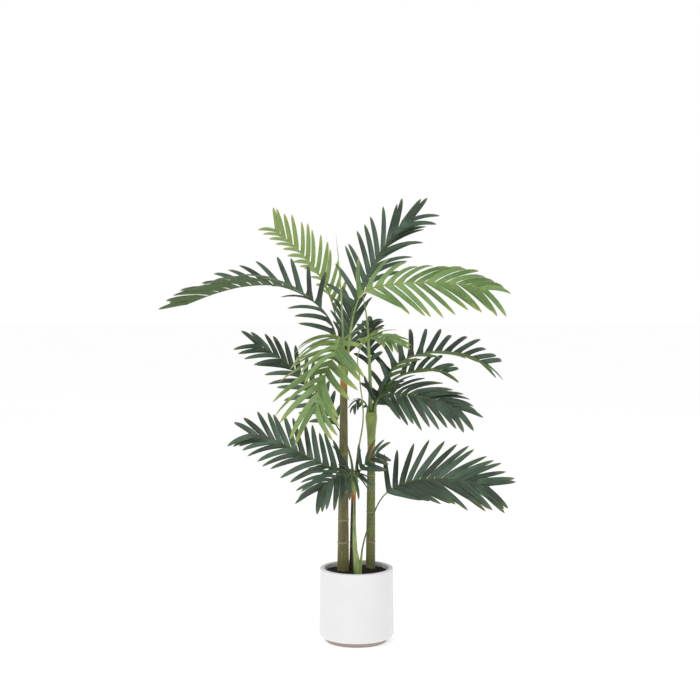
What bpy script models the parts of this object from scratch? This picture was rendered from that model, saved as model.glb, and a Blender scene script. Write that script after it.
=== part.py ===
"""A potted palm: three ringed stems in a round white pot, with arching feather fronds.

Metres, +Z up. The origin is the centre of the pot's underside and -Y is the front.
Each frond is one piece: its stalk and the two rows of leaflets that grew on it. Its
stalk follows a route, and its leaflets are placed by a growth rule that turns or
shortens a leaflet where another frond is in its way.
"""

import math
import random
from dataclasses import dataclass

import bmesh
import bpy
from mathutils import Matrix, Vector
from mathutils.bvhtree import BVHTree

# pot
POT_RADIUS = 0.100
POT_HEIGHT = 0.1965
POT_WALL = 0.0145
POT_FLOOR = 0.014
FOOT_RADIUS = 0.082
FOOT_HEIGHT = 0.011
SHOULDER_RADIUS = 0.088
SHOULDER_ROUND = 0.012
RIM_RADIUS = 0.098
RIM_ROUND = 0.003
POT_SIDES = 48

# soil
SOIL_TOP = 0.1865
GAP = 0.0003
SOCKET_ROOM = 0.0012
SOCKET_LIFT = 0.020
SOCKET_SIDES = 16

# stems and crownshafts
STEM_DEPTH = 0.040
STEM_SIDES = 12
RING_REACH = 0.004
RING_SWELL = 1.10
CROWN_SHAPE = ((0.0, 0.0), (0.35, 0.03), (0.7, 0.64), (1.0, 1.0))  # share of height, share of flare
CROWN_MOUTH = 0.62
CROWN_LIFT = 0.010
SOIL_LIFT = 0.004

# leaflets
LEAFLET_STEPS = 6
LEAFLET_WIDTH = 0.015
LEAFLET_THICK = 0.0010
LEAFLET_TILT = 12.0
ROOT_LENGTH = 0.0050
ROOT_WIDTH = 0.6
RING_STEPS = (2, 4)
RING_WIDTHS = (1.0, 0.85)
TIP_WIDTH = 0.2
RISE_DRIFT = 5.0
SPREAD_DRIFT = 4.0
LENGTH_DRIFT = 0.06
ARCH_DRIFT = 0.2
CLEARANCE = 0.0015
TURNS = (0.0, 10.0, -10.0, 20.0, -20.0, 30.0, -30.0)
REACHES = (1.0, 0.75, 0.5, 0.33)

# stalks
STALK_HALF = 0.0026
STALK_TIP_HALF = 0.0007
STALK_BARE_RINGS = 5
STALK_BARE_END = 0.92
STALK_ROOM = 1.5
TUBE_STEP = 0.02
LAST_PAIR = 0.985
TIP_REACH = 0.004

# spears
SPEAR_SIDES = 6
SPEAR_SHAPE = ((0.0, 0.8), (0.12, 1.0), (0.35, 0.95), (0.6, 0.7), (0.85, 0.35))  # share of length, of width

UP = Vector((0.0, 0.0, 1.0))
AHEAD = Vector((1.0, 0.0, 0.0))


@dataclass(frozen=True)
class Stem:
    """A ringed stem: where it stands, how thick it is and where its crown is."""

    name: str
    foot: tuple  # x, y where it leaves the soil
    head: tuple  # x, y at its top
    top: float  # height of its top
    radii: tuple  # at the soil and at its top
    rings: tuple  # heights of its leaf scars
    crown: float  # height of the crownshaft
    crown_radius: float  # at the crownshaft's mouth
    colour: tuple


@dataclass(frozen=True)
class Row:
    """How one row of leaflets stands. Pairs of values are at its first leaflet and at its last."""

    rise: tuple = (20.0, 20.0)  # degrees it stands up from the blade
    spread: tuple = (60.0, 22.0)  # degrees between leaflet and stalk
    arch: float = 35.0  # degrees that a leaflet bends over, root to tip
    skip: int = 0  # leaflets missing at the foot of the row


@dataclass(frozen=True)
class Frond:
    """A feather frond: the route of its stalk, and how its two rows of leaflets stand."""

    name: str
    start: tuple  # (stem name, degrees round its crown), or (x, y) in the soil
    route: tuple  # points of the stalk past its start
    bare: float  # share of the stalk that holds no leaflets
    pairs: int
    longest: float  # longest leaflet
    facing: tuple  # the way the upper side of the blade looks
    left: Row = Row()
    right: Row = Row()
    sag: float = 0.15  # pull of their weight
    width: float = LEAFLET_WIDTH
    tone: str = "dark"


@dataclass(frozen=True)
class Spear:
    """A young frond that is still rolled up, or a shoot."""

    name: str
    start: tuple  # as a frond's
    route: tuple
    half: float  # half its width at its widest


STEMS = (
    Stem(
        name="left",
        foot=(-0.036, 0.010),
        head=(-0.034, 0.010),
        top=0.690,
        radii=(0.0160, 0.0095),
        rings=(0.262, 0.323, 0.400, 0.500),
        crown=0.060,
        crown_radius=0.0165,
        colour=(0.17, 0.20, 0.07),
    ),
    Stem(
        name="middle",
        foot=(-0.013, 0.028),
        head=(-0.008, 0.030),
        top=0.385,
        radii=(0.0070, 0.0065),
        rings=(0.250, 0.310),
        crown=0.045,
        crown_radius=0.0145,
        colour=(0.10, 0.06, 0.04),
    ),
    Stem(
        name="right",
        foot=(0.038, 0.040),
        head=(0.040, 0.040),
        top=0.510,
        radii=(0.0130, 0.0104),
        rings=(0.258, 0.340, 0.440),
        crown=0.100,
        crown_radius=0.0165,
        colour=(0.18, 0.20, 0.07),
    ),
)

FRONDS = (
    Frond(
        name="frond_left_high",
        start=("left", 180.0),
        route=((-0.070, 0.025, 0.855), (-0.125, 0.050, 0.915), (-0.210, 0.070, 0.950),
               (-0.300, 0.085, 0.950), (-0.385, 0.090, 0.930), (-0.455, 0.090, 0.903)),
        bare=0.14,
        pairs=16,
        longest=0.138,
        facing=(-0.1, 0.0, 1.0),
        left=Row(rise=(0.0, 88.0), spread=(55.0, 20.0), arch=35.0),
        right=Row(rise=(62.0, 70.0), spread=(60.0, 24.0), arch=32.0, skip=3),
    ),
    Frond(
        name="frond_right_light",
        start=("left", -15.0),
        route=((-0.005, -0.010, 0.885), (0.022, -0.025, 0.935), (0.090, -0.050, 0.953),
               (0.185, -0.085, 0.958), (0.265, -0.110, 0.955), (0.330, -0.130, 0.940)),
        bare=0.24,
        pairs=15,
        longest=0.125,
        facing=(0.1, -1.0, 0.35),
        left=Row(rise=(10.0, 10.0), spread=(55.0, 20.0), arch=60.0, skip=2),
        right=Row(rise=(5.0, 5.0), spread=(50.0, 20.0), arch=40.0, skip=3),
        tone="light",
    ),
    Frond(
        name="frond_right_high",
        start=("left", 30.0),
        route=((-0.008, 0.060, 0.900), (0.015, 0.070, 0.955), (0.060, 0.095, 1.035),
               (0.105, 0.115, 1.095), (0.145, 0.125, 1.130)),
        bare=0.3,
        pairs=13,
        longest=0.136,
        facing=(-0.2, -1.0, 0.2),
        left=Row(rise=(15.0, 25.0), spread=(58.0, 14.0), arch=28.0, skip=1),
        right=Row(rise=(20.0, 20.0), spread=(36.0, 14.0), arch=35.0, skip=3),
    ),
    Frond(
        name="frond_back_left",
        start=("left", 125.0),
        route=((-0.060, 0.110, 0.880), (-0.098, 0.180, 0.970), (-0.165, 0.255, 1.050),
               (-0.235, 0.300, 1.110)),
        bare=0.30,
        pairs=14,
        longest=0.105,
        facing=(0.4, 0.85, -0.3),
        left=Row(rise=(15.0, 15.0), spread=(42.0, 38.0), arch=40.0, skip=1),
        right=Row(rise=(85.0, 80.0), spread=(24.0, 20.0), arch=25.0, skip=2),
        tone="light",
    ),
    Frond(
        name="frond_right_mid",
        start=("right", 60.0),
        route=((0.062, 0.080, 0.670), (0.100, 0.100, 0.727), (0.165, 0.110, 0.760),
               (0.235, 0.110, 0.769), (0.300, 0.102, 0.760), (0.350, 0.094, 0.738)),
        bare=0.18,
        pairs=14,
        longest=0.108,
        facing=(0.0, -0.4, 1.0),
        left=Row(rise=(72.0, 60.0), spread=(82.0, 35.0), arch=68.0, skip=2),
        right=Row(rise=(32.0, 20.0), spread=(60.0, 25.0), arch=10.0),
    ),
    Frond(
        name="frond_right_drooping",
        start=("right", -30.0),
        route=((0.065, 0.010, 0.655), (0.115, -0.036, 0.665), (0.170, -0.075, 0.659),
               (0.215, -0.095, 0.651), (0.255, -0.108, 0.634)),
        bare=0.12,
        pairs=13,
        longest=0.110,
        facing=(0.1, -1.0, 0.5),
        left=Row(rise=(0.0, 0.0), spread=(58.0, 20.0), arch=35.0),
        right=Row(rise=(5.0, 5.0), spread=(58.0, 20.0), arch=30.0),
        width=0.017,
    ),
    Frond(
        name="frond_right_low",
        start=(0.010, -0.038),
        route=((0.018, -0.030, 0.265), (0.048, -0.022, 0.350), (0.078, -0.022, 0.398),
               (0.135, -0.030, 0.430), (0.215, -0.048, 0.442), (0.285, -0.064, 0.438),
               (0.335, -0.075, 0.428)),
        bare=0.5,
        pairs=14,
        longest=0.13,
        facing=(0.0, -1.0, 0.3),
        left=Row(rise=(8.0, 8.0), spread=(60.0, 23.0), arch=25.0),
        right=Row(rise=(8.0, 8.0), spread=(45.0, 22.0), arch=15.0),
        width=0.017,
        sag=0.1,
    ),
    Frond(
        name="frond_left_low",
        start=("middle", 225.0),
        route=((-0.019, -0.012, 0.448), (-0.042, -0.030, 0.458), (-0.080, -0.034, 0.474),
               (-0.140, -0.018, 0.502), (-0.200, 0.004, 0.530), (-0.245, 0.018, 0.546),
               (-0.278, 0.026, 0.549)),
        bare=0.15,
        pairs=13,
        longest=0.115,
        facing=(0.0, -1.0, 0.5),
        left=Row(rise=(10.0, 10.0), spread=(55.0, 14.0), arch=30.0),
        right=Row(rise=(10.0, 10.0), spread=(64.0, 30.0), arch=25.0),
        width=0.016,
    ),
    Frond(
        name="frond_left_mid",
        start=("middle", 100.0),
        route=((-0.015, 0.055, 0.480), (-0.032, 0.070, 0.530), (-0.072, 0.090, 0.595),
               (-0.125, 0.110, 0.665), (-0.185, 0.128, 0.730), (-0.235, 0.130, 0.767),
               (-0.275, 0.125, 0.787)),
        bare=0.36,
        pairs=12,
        longest=0.096,
        facing=(0.2, -1.0, 0.5),
        left=Row(rise=(10.0, 10.0), spread=(55.0, 25.0), arch=30.0),
        right=Row(rise=(15.0, 15.0), spread=(50.0, 25.0), arch=35.0),
    ),
    Frond(
        name="frond_front_left",
        start=("left", -140.0),
        route=((-0.052, -0.055, 0.780), (-0.072, -0.110, 0.738), (-0.092, -0.150, 0.690),
               (-0.100, -0.172, 0.645)),
        bare=0.2,
        pairs=9,
        longest=0.16,
        facing=(-0.2, -1.0, 0.7),
        left=Row(rise=(62.0, 58.0), spread=(50.0, 25.0), arch=40.0),
        right=Row(rise=(0.0, 0.0), spread=(72.0, 30.0), arch=28.0),
        tone="light",
        width=0.02,
    ),
    Frond(
        name="frond_front_high",
        start=("left", -95.0),
        route=((-0.034, -0.040, 0.805), (-0.040, -0.085, 0.812), (-0.048, -0.130, 0.800),
               (-0.054, -0.165, 0.775)),
        bare=0.22,
        pairs=7,
        longest=0.145,
        facing=(0.0, -0.2, 1.0),
        left=Row(rise=(5.0, 0.0), spread=(60.0, 35.0), arch=55.0, skip=1),
        right=Row(rise=(25.0, 10.0), spread=(85.0, 50.0), arch=55.0),
        tone="light",
        width=0.018,
    ),
    Frond(
        name="frond_right_inner",
        start=("right", 10.0),
        route=((0.065, 0.050, 0.662), (0.102, 0.056, 0.696), (0.155, 0.056, 0.718),
               (0.200, 0.050, 0.724), (0.235, 0.042, 0.716)),
        bare=0.10,
        pairs=11,
        longest=0.080,
        facing=(0.0, -0.4, 1.0),
        left=Row(rise=(72.0, 60.0), spread=(84.0, 35.0), arch=60.0, skip=1),
        right=Row(rise=(32.0, 20.0), spread=(60.0, 20.0), arch=8.0),
    ),
    Frond(
        name="frond_front_right",
        start=("middle", 48.0),
        route=((0.004, 0.002, 0.505), (0.018, -0.008, 0.600), (0.008, -0.024, 0.705),
               (0.004, -0.045, 0.770), (0.030, -0.085, 0.808), (0.060, -0.115, 0.812),
               (0.090, -0.145, 0.805)),
        bare=0.76,
        pairs=7,
        longest=0.080,
        facing=(0.0, -0.7, 1.0),
        left=Row(rise=(15.0, 15.0), spread=(60.0, 20.0), arch=35.0),
        right=Row(rise=(45.0, 35.0), spread=(55.0, 20.0), arch=25.0),
        tone="light",
    ),
    Frond(
        name="frond_front_low",
        start=("middle", -85.0),
        route=((-0.009, -0.030, 0.452), (-0.035, -0.080, 0.458), (-0.068, -0.120, 0.446),
               (-0.092, -0.145, 0.428)),
        bare=0.15,
        pairs=10,
        longest=0.1,
        facing=(-0.1, -1.0, 0.8),
        left=Row(rise=(5.0, 5.0), spread=(75.0, 25.0), arch=30.0),
        right=Row(rise=(5.0, 5.0), spread=(75.0, 25.0), arch=30.0),
        width=0.017,
    ),
    Frond(
        name="frond_front_inner",
        start=("middle", -35.0),
        route=((0.006, -0.035, 0.455), (0.022, -0.065, 0.482), (0.040, -0.090, 0.502),
               (0.055, -0.110, 0.515)),
        bare=0.15,
        pairs=7,
        longest=0.065,
        facing=(0.2, -1.0, 0.6),
        left=Row(rise=(5.0, 5.0), spread=(70.0, 30.0), arch=35.0),
        right=Row(rise=(5.0, 5.0), spread=(70.0, 30.0), arch=35.0),
    ),
    Frond(
        name="frond_back",
        start=("left", 75.0),
        route=((-0.022, 0.045, 0.800), (-0.018, 0.068, 0.850), (-0.014, 0.085, 0.890)),
        bare=0.15,
        pairs=7,
        longest=0.105,
        facing=(0.0, -1.0, 0.2),
        left=Row(rise=(10.0, 10.0), spread=(30.0, 24.0), arch=15.0),
        right=Row(rise=(10.0, 10.0), spread=(30.0, 24.0), arch=15.0),
        width=0.013,
    ),
    Frond(
        name="frond_back_right",
        start=("right", 120.0),
        route=((0.034, 0.085, 0.720), (0.033, 0.105, 0.780), (0.036, 0.125, 0.820),
               (0.042, 0.145, 0.845)),
        bare=0.55,
        pairs=6,
        longest=0.065,
        facing=(0.0, -0.3, 1.0),
        left=Row(rise=(15.0, 15.0), spread=(45.0, 20.0), arch=35.0),
        right=Row(rise=(15.0, 15.0), spread=(45.0, 20.0), arch=35.0),
    ),
    Frond(
        name="frond_curled",
        start=("right", 200.0),
        route=((0.018, 0.020, 0.642), (0.004, 0.000, 0.645), (-0.006, -0.018, 0.630)),
        bare=0.25,
        pairs=4,
        longest=0.034,
        facing=(0.0, -0.5, 1.0),
        left=Row(rise=(0.0, 0.0), spread=(50.0, 20.0), arch=50.0),
        right=Row(rise=(0.0, 0.0), spread=(50.0, 20.0), arch=50.0),
        width=0.009,
    ),
)

SPEARS = (
    Spear(
        name="spear_left",
        start=("left", None),
        route=((-0.040, 0.002, 0.910), (-0.048, -0.004, 1.020), (-0.055, -0.008, 1.090)),
        half=0.0030,
    ),
    Spear(
        name="spear_right",
        start=("right", None),
        route=((0.034, 0.036, 0.760), (0.028, 0.026, 0.860), (0.012, 0.016, 0.950)),
        half=0.0048,
    ),
    Spear(
        name="shoot",
        start=(-0.002, -0.036),
        route=((-0.006, -0.034, 0.280), (-0.008, -0.032, 0.385)),
        half=0.0060,
    ),
)


class Route:
    """A smooth curve through a few points, read by its share of the length."""

    def __init__(self, points, steps=10):
        knots = [Vector(point) for point in points]
        last = len(knots) - 1
        slopes = [(knots[min(i + 1, last)] - knots[max(i - 1, 0)]).normalized() for i in range(last + 1)]
        self.places = [knots[0]]
        for i in range(last):
            reach = (knots[i + 1] - knots[i]).length / 3
            ends = (knots[i], knots[i] + slopes[i] * reach, knots[i + 1] - slopes[i + 1] * reach, knots[i + 1])
            for step in range(1, steps + 1):
                self.places.append(bezier(ends, step / steps))
        self.walked = [0.0]
        for before, after in zip(self.places, self.places[1:]):
            self.walked.append(self.walked[-1] + (after - before).length)
        self.length = self.walked[-1]

    def at(self, share):
        """The place and the direction at this share of the length."""
        wanted = share * self.length
        i = 1
        while i < len(self.walked) - 1 and self.walked[i] < wanted:
            i += 1
        before, after = self.places[i - 1], self.places[i]
        part = (wanted - self.walked[i - 1]) / (self.walked[i] - self.walked[i - 1])
        return before.lerp(after, part), (after - before).normalized()


def bezier(ends, t):
    """The point at t of a cubic curve."""
    a, b, c, d = ends
    s = 1 - t
    return a * s**3 + b * 3 * s * s * t + c * 3 * s * t * t + d * t**3


def stem_named(name):
    """The stem with this name."""
    return next(stem for stem in STEMS if stem.name == name)


def start_points(start):
    """The first two points of a stalk: straight up out of a crown, or out of the soil."""
    if isinstance(start[0], str):
        stem = stem_named(start[0])
        centre = Vector((*stem.head, stem.top + GAP + stem.crown + GAP))
        if start[1] is not None:
            angle = math.radians(start[1])
            centre += Vector((math.cos(angle), math.sin(angle), 0.0)) * stem.crown_radius * CROWN_MOUTH
        return centre, centre + UP * CROWN_LIFT
    foot = Vector((*start, SOIL_TOP - STEM_DEPTH / 2))
    return foot, foot + UP * (STEM_DEPTH / 2 + SOIL_LIFT)


def frame_at(route, share, facing):
    """Place, direction, upper side and right-hand side of a blade at this share of its stalk."""
    place, tangent = route.at(share)
    upper = (facing - tangent * facing.dot(tangent)).normalized()
    return place, tangent, upper, tangent.cross(upper)


def between(ends, share):
    """The value at this share of the way from the first to the second."""
    return ends[0] + (ends[1] - ends[0]) * share


def stalk_half(share):
    """Half the stalk's thickness at this share of its length."""
    return STALK_HALF + (STALK_TIP_HALF - STALK_HALF) * share


def length_share(along):
    """A leaflet's length as a share of the frond's longest: short at both ends of the row."""
    return 0.45 + 0.55 * math.sin(math.pi * (0.16 + 0.66 * along))


def leaflet_path(frond, frame, along, side, turn, reach, drift):
    """A leaflet's (place, heading, upper side) from its root to its tip.

    along is the leaflet's place in its row, 0 to 1; side is 1 on the right and -1 on
    the left; turn and reach are the growth rule's changes, and drift is this leaflet's
    own small difference in angle and length.
    """
    place, tangent, upper, right = frame
    row = frond.left if side < 0 else frond.right
    rise = math.radians(between(row.rise, along) + turn + RISE_DRIFT * drift[0])
    spread = math.radians(between(row.spread, along) + SPREAD_DRIFT * drift[1])
    outward = right * side * math.cos(rise) + upper * math.sin(rise)
    leaf_up = upper * math.cos(rise) - right * side * math.sin(rise)
    heading = tangent * math.cos(spread) + outward * math.sin(spread)
    length = frond.longest * length_share(along) * (1 + LENGTH_DRIFT * drift[2])
    step = length * reach / LEAFLET_STEPS
    bend = math.radians(row.arch * (1 + ARCH_DRIFT * drift[1])) / LEAFLET_STEPS
    place = place + outward * stalk_half(along)
    path = [(place, heading, leaf_up)]
    for _ in range(LEAFLET_STEPS):
        heading = (heading - leaf_up * math.tan(bend) - UP * frond.sag / LEAFLET_STEPS).normalized()
        leaf_up = (leaf_up - heading * leaf_up.dot(heading)).normalized()
        place = place + heading * step
        path.append((place, heading, leaf_up))
    return path


def ring_corners(point, side, width, thick):
    """Four corners across a leaflet, keyed by (ahead, above): its front or rear edge, upper or under side."""
    place, heading, upper = point
    tilt = Matrix.Rotation(math.radians(LEAFLET_TILT) * side, 3, heading)
    ahead = tilt @ (upper.cross(heading) * side)
    above = tilt @ upper
    return {
        (a, b): place + ahead * (a * width / 2) + above * (b * thick / 2)
        for a in (-1, 1)
        for b in (-1, 1)
    }


def leaflet_shell(path, side, width):
    """Vertices and faces of a leaflet with room around it, for the growth rule's test."""
    order = ((-1, -1), (1, -1), (1, 1), (-1, 1))
    rings = (*RING_STEPS, LEAFLET_STEPS)
    sizes = [width * share for share in (*RING_WIDTHS, TIP_WIDTH)]
    thick = LEAFLET_THICK + 2 * CLEARANCE
    corners = [ring_corners(path[0], side, width * ROOT_WIDTH, thick)]
    corners += [
        ring_corners(path[step], side, size + 2 * CLEARANCE, thick) for step, size in zip(rings, sizes)
    ]
    points = [ring[key] for ring in corners for key in order]
    faces = [
        (4 * i + j, 4 * i + (j + 1) % 4, 4 * i + 4 + (j + 1) % 4, 4 * i + 4 + j)
        for i in range(len(rings))
        for j in range(4)
    ]
    return points, faces


def tube_shell(route, halves, sides=6):
    """Vertices and faces of a round bar along a route, for the growth rule's test."""
    points, faces = [], []
    steps = max(4, int(route.length / TUBE_STEP))
    for i in range(steps + 1):
        place, tangent = route.at(i / steps)
        turn = tangent.to_track_quat("Z", "Y")
        half = halves[0] + (halves[1] - halves[0]) * i / steps
        for j in range(sides):
            angle = 2 * math.pi * j / sides
            points.append(place + turn @ Vector((half * math.cos(angle), half * math.sin(angle), 0.0)))
    for i in range(steps):
        for j in range(sides):
            k = (j + 1) % sides
            faces.append((sides * i + j, sides * i + k, sides * i + sides + k, sides * i + sides + j))
    return points, faces


@dataclass
class Grown:
    """A frond after growth: its stalk's route and the leaflets that found room."""

    frond: Frond
    route: Route
    leaflets: list  # (pair number, side, path)


def stem_obstacles():
    """What every frond keeps clear of: the stems with their crowns."""
    shells = []
    for stem in STEMS:
        low = Route(((*stem.foot, SOIL_TOP), (*stem.head, stem.top)))
        high = Route(((*stem.head, stem.top), (*stem.head, stem.top + stem.crown)))
        shells.append(tube_shell(low, stem.radii))
        shells.append(tube_shell(high, (stem.radii[1], stem.crown_radius)))
    return shells


def grow():
    """Lays out every stalk, then every leaflet that has room, frond by frond."""
    routes = {frond.name: Route((*start_points(frond.start), *frond.route)) for frond in FRONDS}
    fixed = [BVHTree.FromPolygons(*shell) for shell in stem_obstacles()]
    for spear in SPEARS:
        route = Route((*start_points(spear.start), *spear.route))
        fixed.append(BVHTree.FromPolygons(*tube_shell(route, (spear.half, spear.half / 2))))
    stalks = {
        name: BVHTree.FromPolygons(*tube_shell(route, (STALK_HALF * STALK_ROOM, STALK_TIP_HALF * STALK_ROOM)))
        for name, route in routes.items()
    }
    done = []
    grown = []
    for frond in FRONDS:
        others = fixed + done + [tree for name, tree in stalks.items() if name != frond.name]
        leaflets = grow_leaflets(frond, routes[frond.name], others)
        shells = [leaflet_shell(path, side, frond.width) for _, side, path in leaflets]
        done += [BVHTree.FromPolygons(*shell) for shell in shells]
        grown.append(Grown(frond, routes[frond.name], leaflets))
    return grown


def pair_share(frond, pair):
    """The share of the stalk's length at this pair of leaflets."""
    return frond.bare + (LAST_PAIR - frond.bare) * pair / (frond.pairs - 1)


def grow_leaflets(frond, route, others):
    """The frond's leaflets, each turned or shortened until it is clear of its neighbours."""
    chance = random.Random(frond.name)
    facing = Vector(frond.facing)
    leaflets = []
    for pair in range(frond.pairs):
        frame = frame_at(route, pair_share(frond, pair), facing)
        for side, row in ((-1, frond.left), (1, frond.right)):
            drift = [chance.uniform(-1.0, 1.0) for _ in range(3)]
            if pair < row.skip:
                continue
            path = first_clear(frond, frame, pair / (frond.pairs - 1), side, drift, others)
            if path:
                leaflets.append((pair, side, path))
    return leaflets


def first_clear(frond, frame, along, side, drift, others):
    """The first of the leaflet's tries that touches none of the others, or None."""
    for reach in REACHES:
        for turn in TURNS:
            path = leaflet_path(frond, frame, along, side, turn, reach, drift)
            tree = BVHTree.FromPolygons(*leaflet_shell(path, side, frond.width))
            if not any(tree.overlap(other) for other in others):
                return path
    return None


def material(name, colour, roughness):
    """A plain Principled material."""
    mat = bpy.data.materials.new(name)
    mat.use_nodes = True
    shader = mat.node_tree.nodes["Principled BSDF"]
    shader.inputs["Base Color"].default_value = (*colour, 1.0)
    shader.inputs["Roughness"].default_value = roughness
    shader.inputs["Metallic"].default_value = 0.0
    return mat


def finish(bm, name, mat, smooth=False):
    """Caps the open foot, turns the faces outward and makes the object."""
    bmesh.ops.holes_fill(bm, edges=bm.edges, sides=0)
    bmesh.ops.recalc_face_normals(bm, faces=bm.faces)
    mesh = bpy.data.meshes.new(name)
    bm.to_mesh(mesh)
    bm.free()
    mesh.materials.append(mat)
    if smooth:
        mesh.shade_smooth()
        mesh.set_sharp_from_angle(angle=math.radians(40))
    obj = bpy.data.objects.new(name, mesh)
    bpy.context.collection.objects.link(obj)
    return obj


def extend(bm, face, corners):
    """Extrudes one face and puts its corners at the given places."""
    grown = bmesh.ops.extrude_discrete_faces(bm, faces=[face])["faces"][0]
    for vert, corner in zip(grown.verts, corners):
        vert.co = corner
    return grown


def close_to_point(bm, face, point):
    """Draws a face's corners together into one point."""
    bmesh.ops.pointmerge(bm, verts=list(face.verts), merge_co=point)


def ring_of(place, tangent, radius, sides, facing=UP):
    """Corners of a ring across a direction."""
    upper = facing - tangent * facing.dot(tangent)
    upper = upper.normalized() if upper.length > 0.05 else tangent.orthogonal().normalized()
    right = tangent.cross(upper)
    angles = [2 * math.pi * (k + 0.5) / sides for k in range(sides)]
    return [place + (right * math.cos(a) + upper * math.sin(a)) * radius for a in angles]


def first_ring(bm, corners):
    """A capped ring to extrude from."""
    verts = bmesh.ops.create_circle(bm, cap_ends=True, segments=len(corners), radius=0.001)["verts"]
    face = verts[0].link_faces[0]
    for vert, corner in zip(face.verts, corners):
        vert.co = corner
    return face


def turned(name, outline, sides, mat):
    """A body turned round the Z axis from an outline that starts and ends on the axis."""
    bm = bmesh.new()
    verts = [bm.verts.new((radius, 0.0, height)) for radius, height in outline]
    edges = [bm.edges.new(pair) for pair in zip(verts, verts[1:])]
    bmesh.ops.spin(
        bm, geom=verts + edges, cent=(0, 0, 0), axis=(0, 0, 1), angle=2 * math.pi, steps=sides, use_merge=True
    )
    bmesh.ops.remove_doubles(bm, verts=bm.verts, dist=0.00005)
    return finish(bm, name, mat, smooth=True)


def arc(centre, radius, first, last, steps):
    """Points of a quarter round in the outline, angles in degrees."""
    angles = [math.radians(first + (last - first) * i / steps) for i in range(steps + 1)]
    return [(centre[0] + radius * math.cos(a), centre[1] + radius * math.sin(a)) for a in angles]


def make_pot():
    """The round pot: a set-back foot, rounded shoulder, slightly drawn-in side and soft rim."""
    inner = POT_RADIUS - POT_WALL
    outline = [(0.0, 0.0), (FOOT_RADIUS, 0.0), (FOOT_RADIUS, FOOT_HEIGHT)]
    shoulder = (SHOULDER_RADIUS, FOOT_HEIGHT + SHOULDER_ROUND)
    outline += arc(shoulder, SHOULDER_ROUND, -90, 0, 4)
    outline += arc((RIM_RADIUS - RIM_ROUND, POT_HEIGHT - RIM_ROUND), RIM_ROUND, 0, 90, 3)
    outline += arc((inner + RIM_ROUND, POT_HEIGHT - RIM_ROUND), RIM_ROUND, 90, 180, 3)
    outline += [(inner, POT_FLOOR), (0.0, POT_FLOOR)]
    turned("pot", outline, POT_SIDES, material("pot_white", (0.82, 0.81, 0.80), 0.45))


def cut(target, cutter):
    """Takes the cutter's shape out of the target with an exact Boolean."""
    cutter.hide_render = True
    cutter.display_type = "WIRE"
    modifier = target.modifiers.new("cut_" + cutter.name, "BOOLEAN")
    modifier.operation = "DIFFERENCE"
    modifier.solver = "EXACT"
    modifier.object = cutter


def socket(name, foot, radius, depth, mat):
    """A cutter for the hole that a stem or stalk stands in."""
    bm = bmesh.new()
    bmesh.ops.create_cone(
        bm,
        cap_ends=True,
        segments=SOCKET_SIDES,
        radius1=radius,
        radius2=radius,
        depth=depth + SOCKET_LIFT,
        matrix=Matrix.Translation((*foot, SOIL_TOP - depth / 2 + SOCKET_LIFT / 2)),
    )
    return finish(bm, name, mat)


def make_soil():
    """The potting soil: it fills the pot to just under the rim, with a socket for each stem."""
    mat = material("soil_black", (0.012, 0.010, 0.009), 0.95)
    radius = POT_RADIUS - POT_WALL - GAP
    outline = [(0.0, POT_FLOOR + GAP), (radius, POT_FLOOR + GAP), (radius, SOIL_TOP), (0.0, SOIL_TOP)]
    soil = turned("soil", outline, POT_SIDES, mat)
    for stem in STEMS:
        hole = socket("socket_" + stem.name, stem.foot, stem.radii[0] + SOCKET_ROOM, STEM_DEPTH + GAP, mat)
        cut(soil, hole)
    planted = [(frond, STALK_HALF * STALK_ROOM) for frond in FRONDS]
    planted += [(spear, spear.half) for spear in SPEARS]
    for grown, half in planted:
        if not isinstance(grown.start[0], str):
            hole = socket("socket_" + grown.name, grown.start, half + SOCKET_ROOM, STEM_DEPTH / 2 + GAP, mat)
            cut(soil, hole)


def make_stem(stem):
    """A stem from its socket in the soil to its top, with a raised ring at each leaf scar."""
    low, high = stem.radii
    heights = [(SOIL_TOP - STEM_DEPTH, 1.0), (SOIL_TOP, 1.0)]
    for ring in stem.rings:
        heights += [(ring - RING_REACH, 1.0), (ring, RING_SWELL), (ring + RING_REACH, 1.0)]
    heights.append((stem.top, 1.0))
    bm = bmesh.new()
    face = None
    for height, swell in heights:
        part = max(0.0, (height - SOIL_TOP) / (stem.top - SOIL_TOP))
        place = Vector((*stem.foot, 0)).lerp(Vector((*stem.head, 0)), part) + UP * height
        radius = (low + (high - low) * part) * swell
        corners = ring_of(place, UP, radius, STEM_SIDES, facing=AHEAD)
        face = extend(bm, face, corners) if face else first_ring(bm, corners)
    finish(bm, "stem_" + stem.name, material("stem_" + stem.name, stem.colour, 0.6), smooth=True)


def make_crown(stem):
    """The crownshaft: an orange band, then green leaf bases that flare to the mouth."""
    foot = stem.top + GAP
    bm = bmesh.new()
    face = None
    for share, flare in CROWN_SHAPE:
        place = Vector((*stem.head, foot + stem.crown * share))
        radius = between((stem.radii[1], stem.crown_radius), flare)
        corners = ring_of(place, UP, radius, STEM_SIDES, facing=AHEAD)
        face = extend(bm, face, corners) if face else first_ring(bm, corners)
    finish(bm, "crownshaft_" + stem.name, material("sheath_green", (0.23, 0.33, 0.05), 0.5), smooth=True)


def make_spear(spear):
    """A spear, drawn out ring by ring to a point."""
    route = Route((*start_points(spear.start), *spear.route))
    bm = bmesh.new()
    face = None
    for share, size in SPEAR_SHAPE:
        place, tangent = route.at(share)
        corners = ring_of(place, tangent if share else UP, spear.half * size, SPEAR_SIDES, facing=AHEAD)
        face = extend(bm, face, corners) if face else first_ring(bm, corners)
    close_to_point(bm, extend(bm, face, [vert.co for vert in face.verts]), route.places[-1])
    finish(bm, spear.name, material("spear_green", (0.20, 0.32, 0.08), 0.5), smooth=True)


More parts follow.
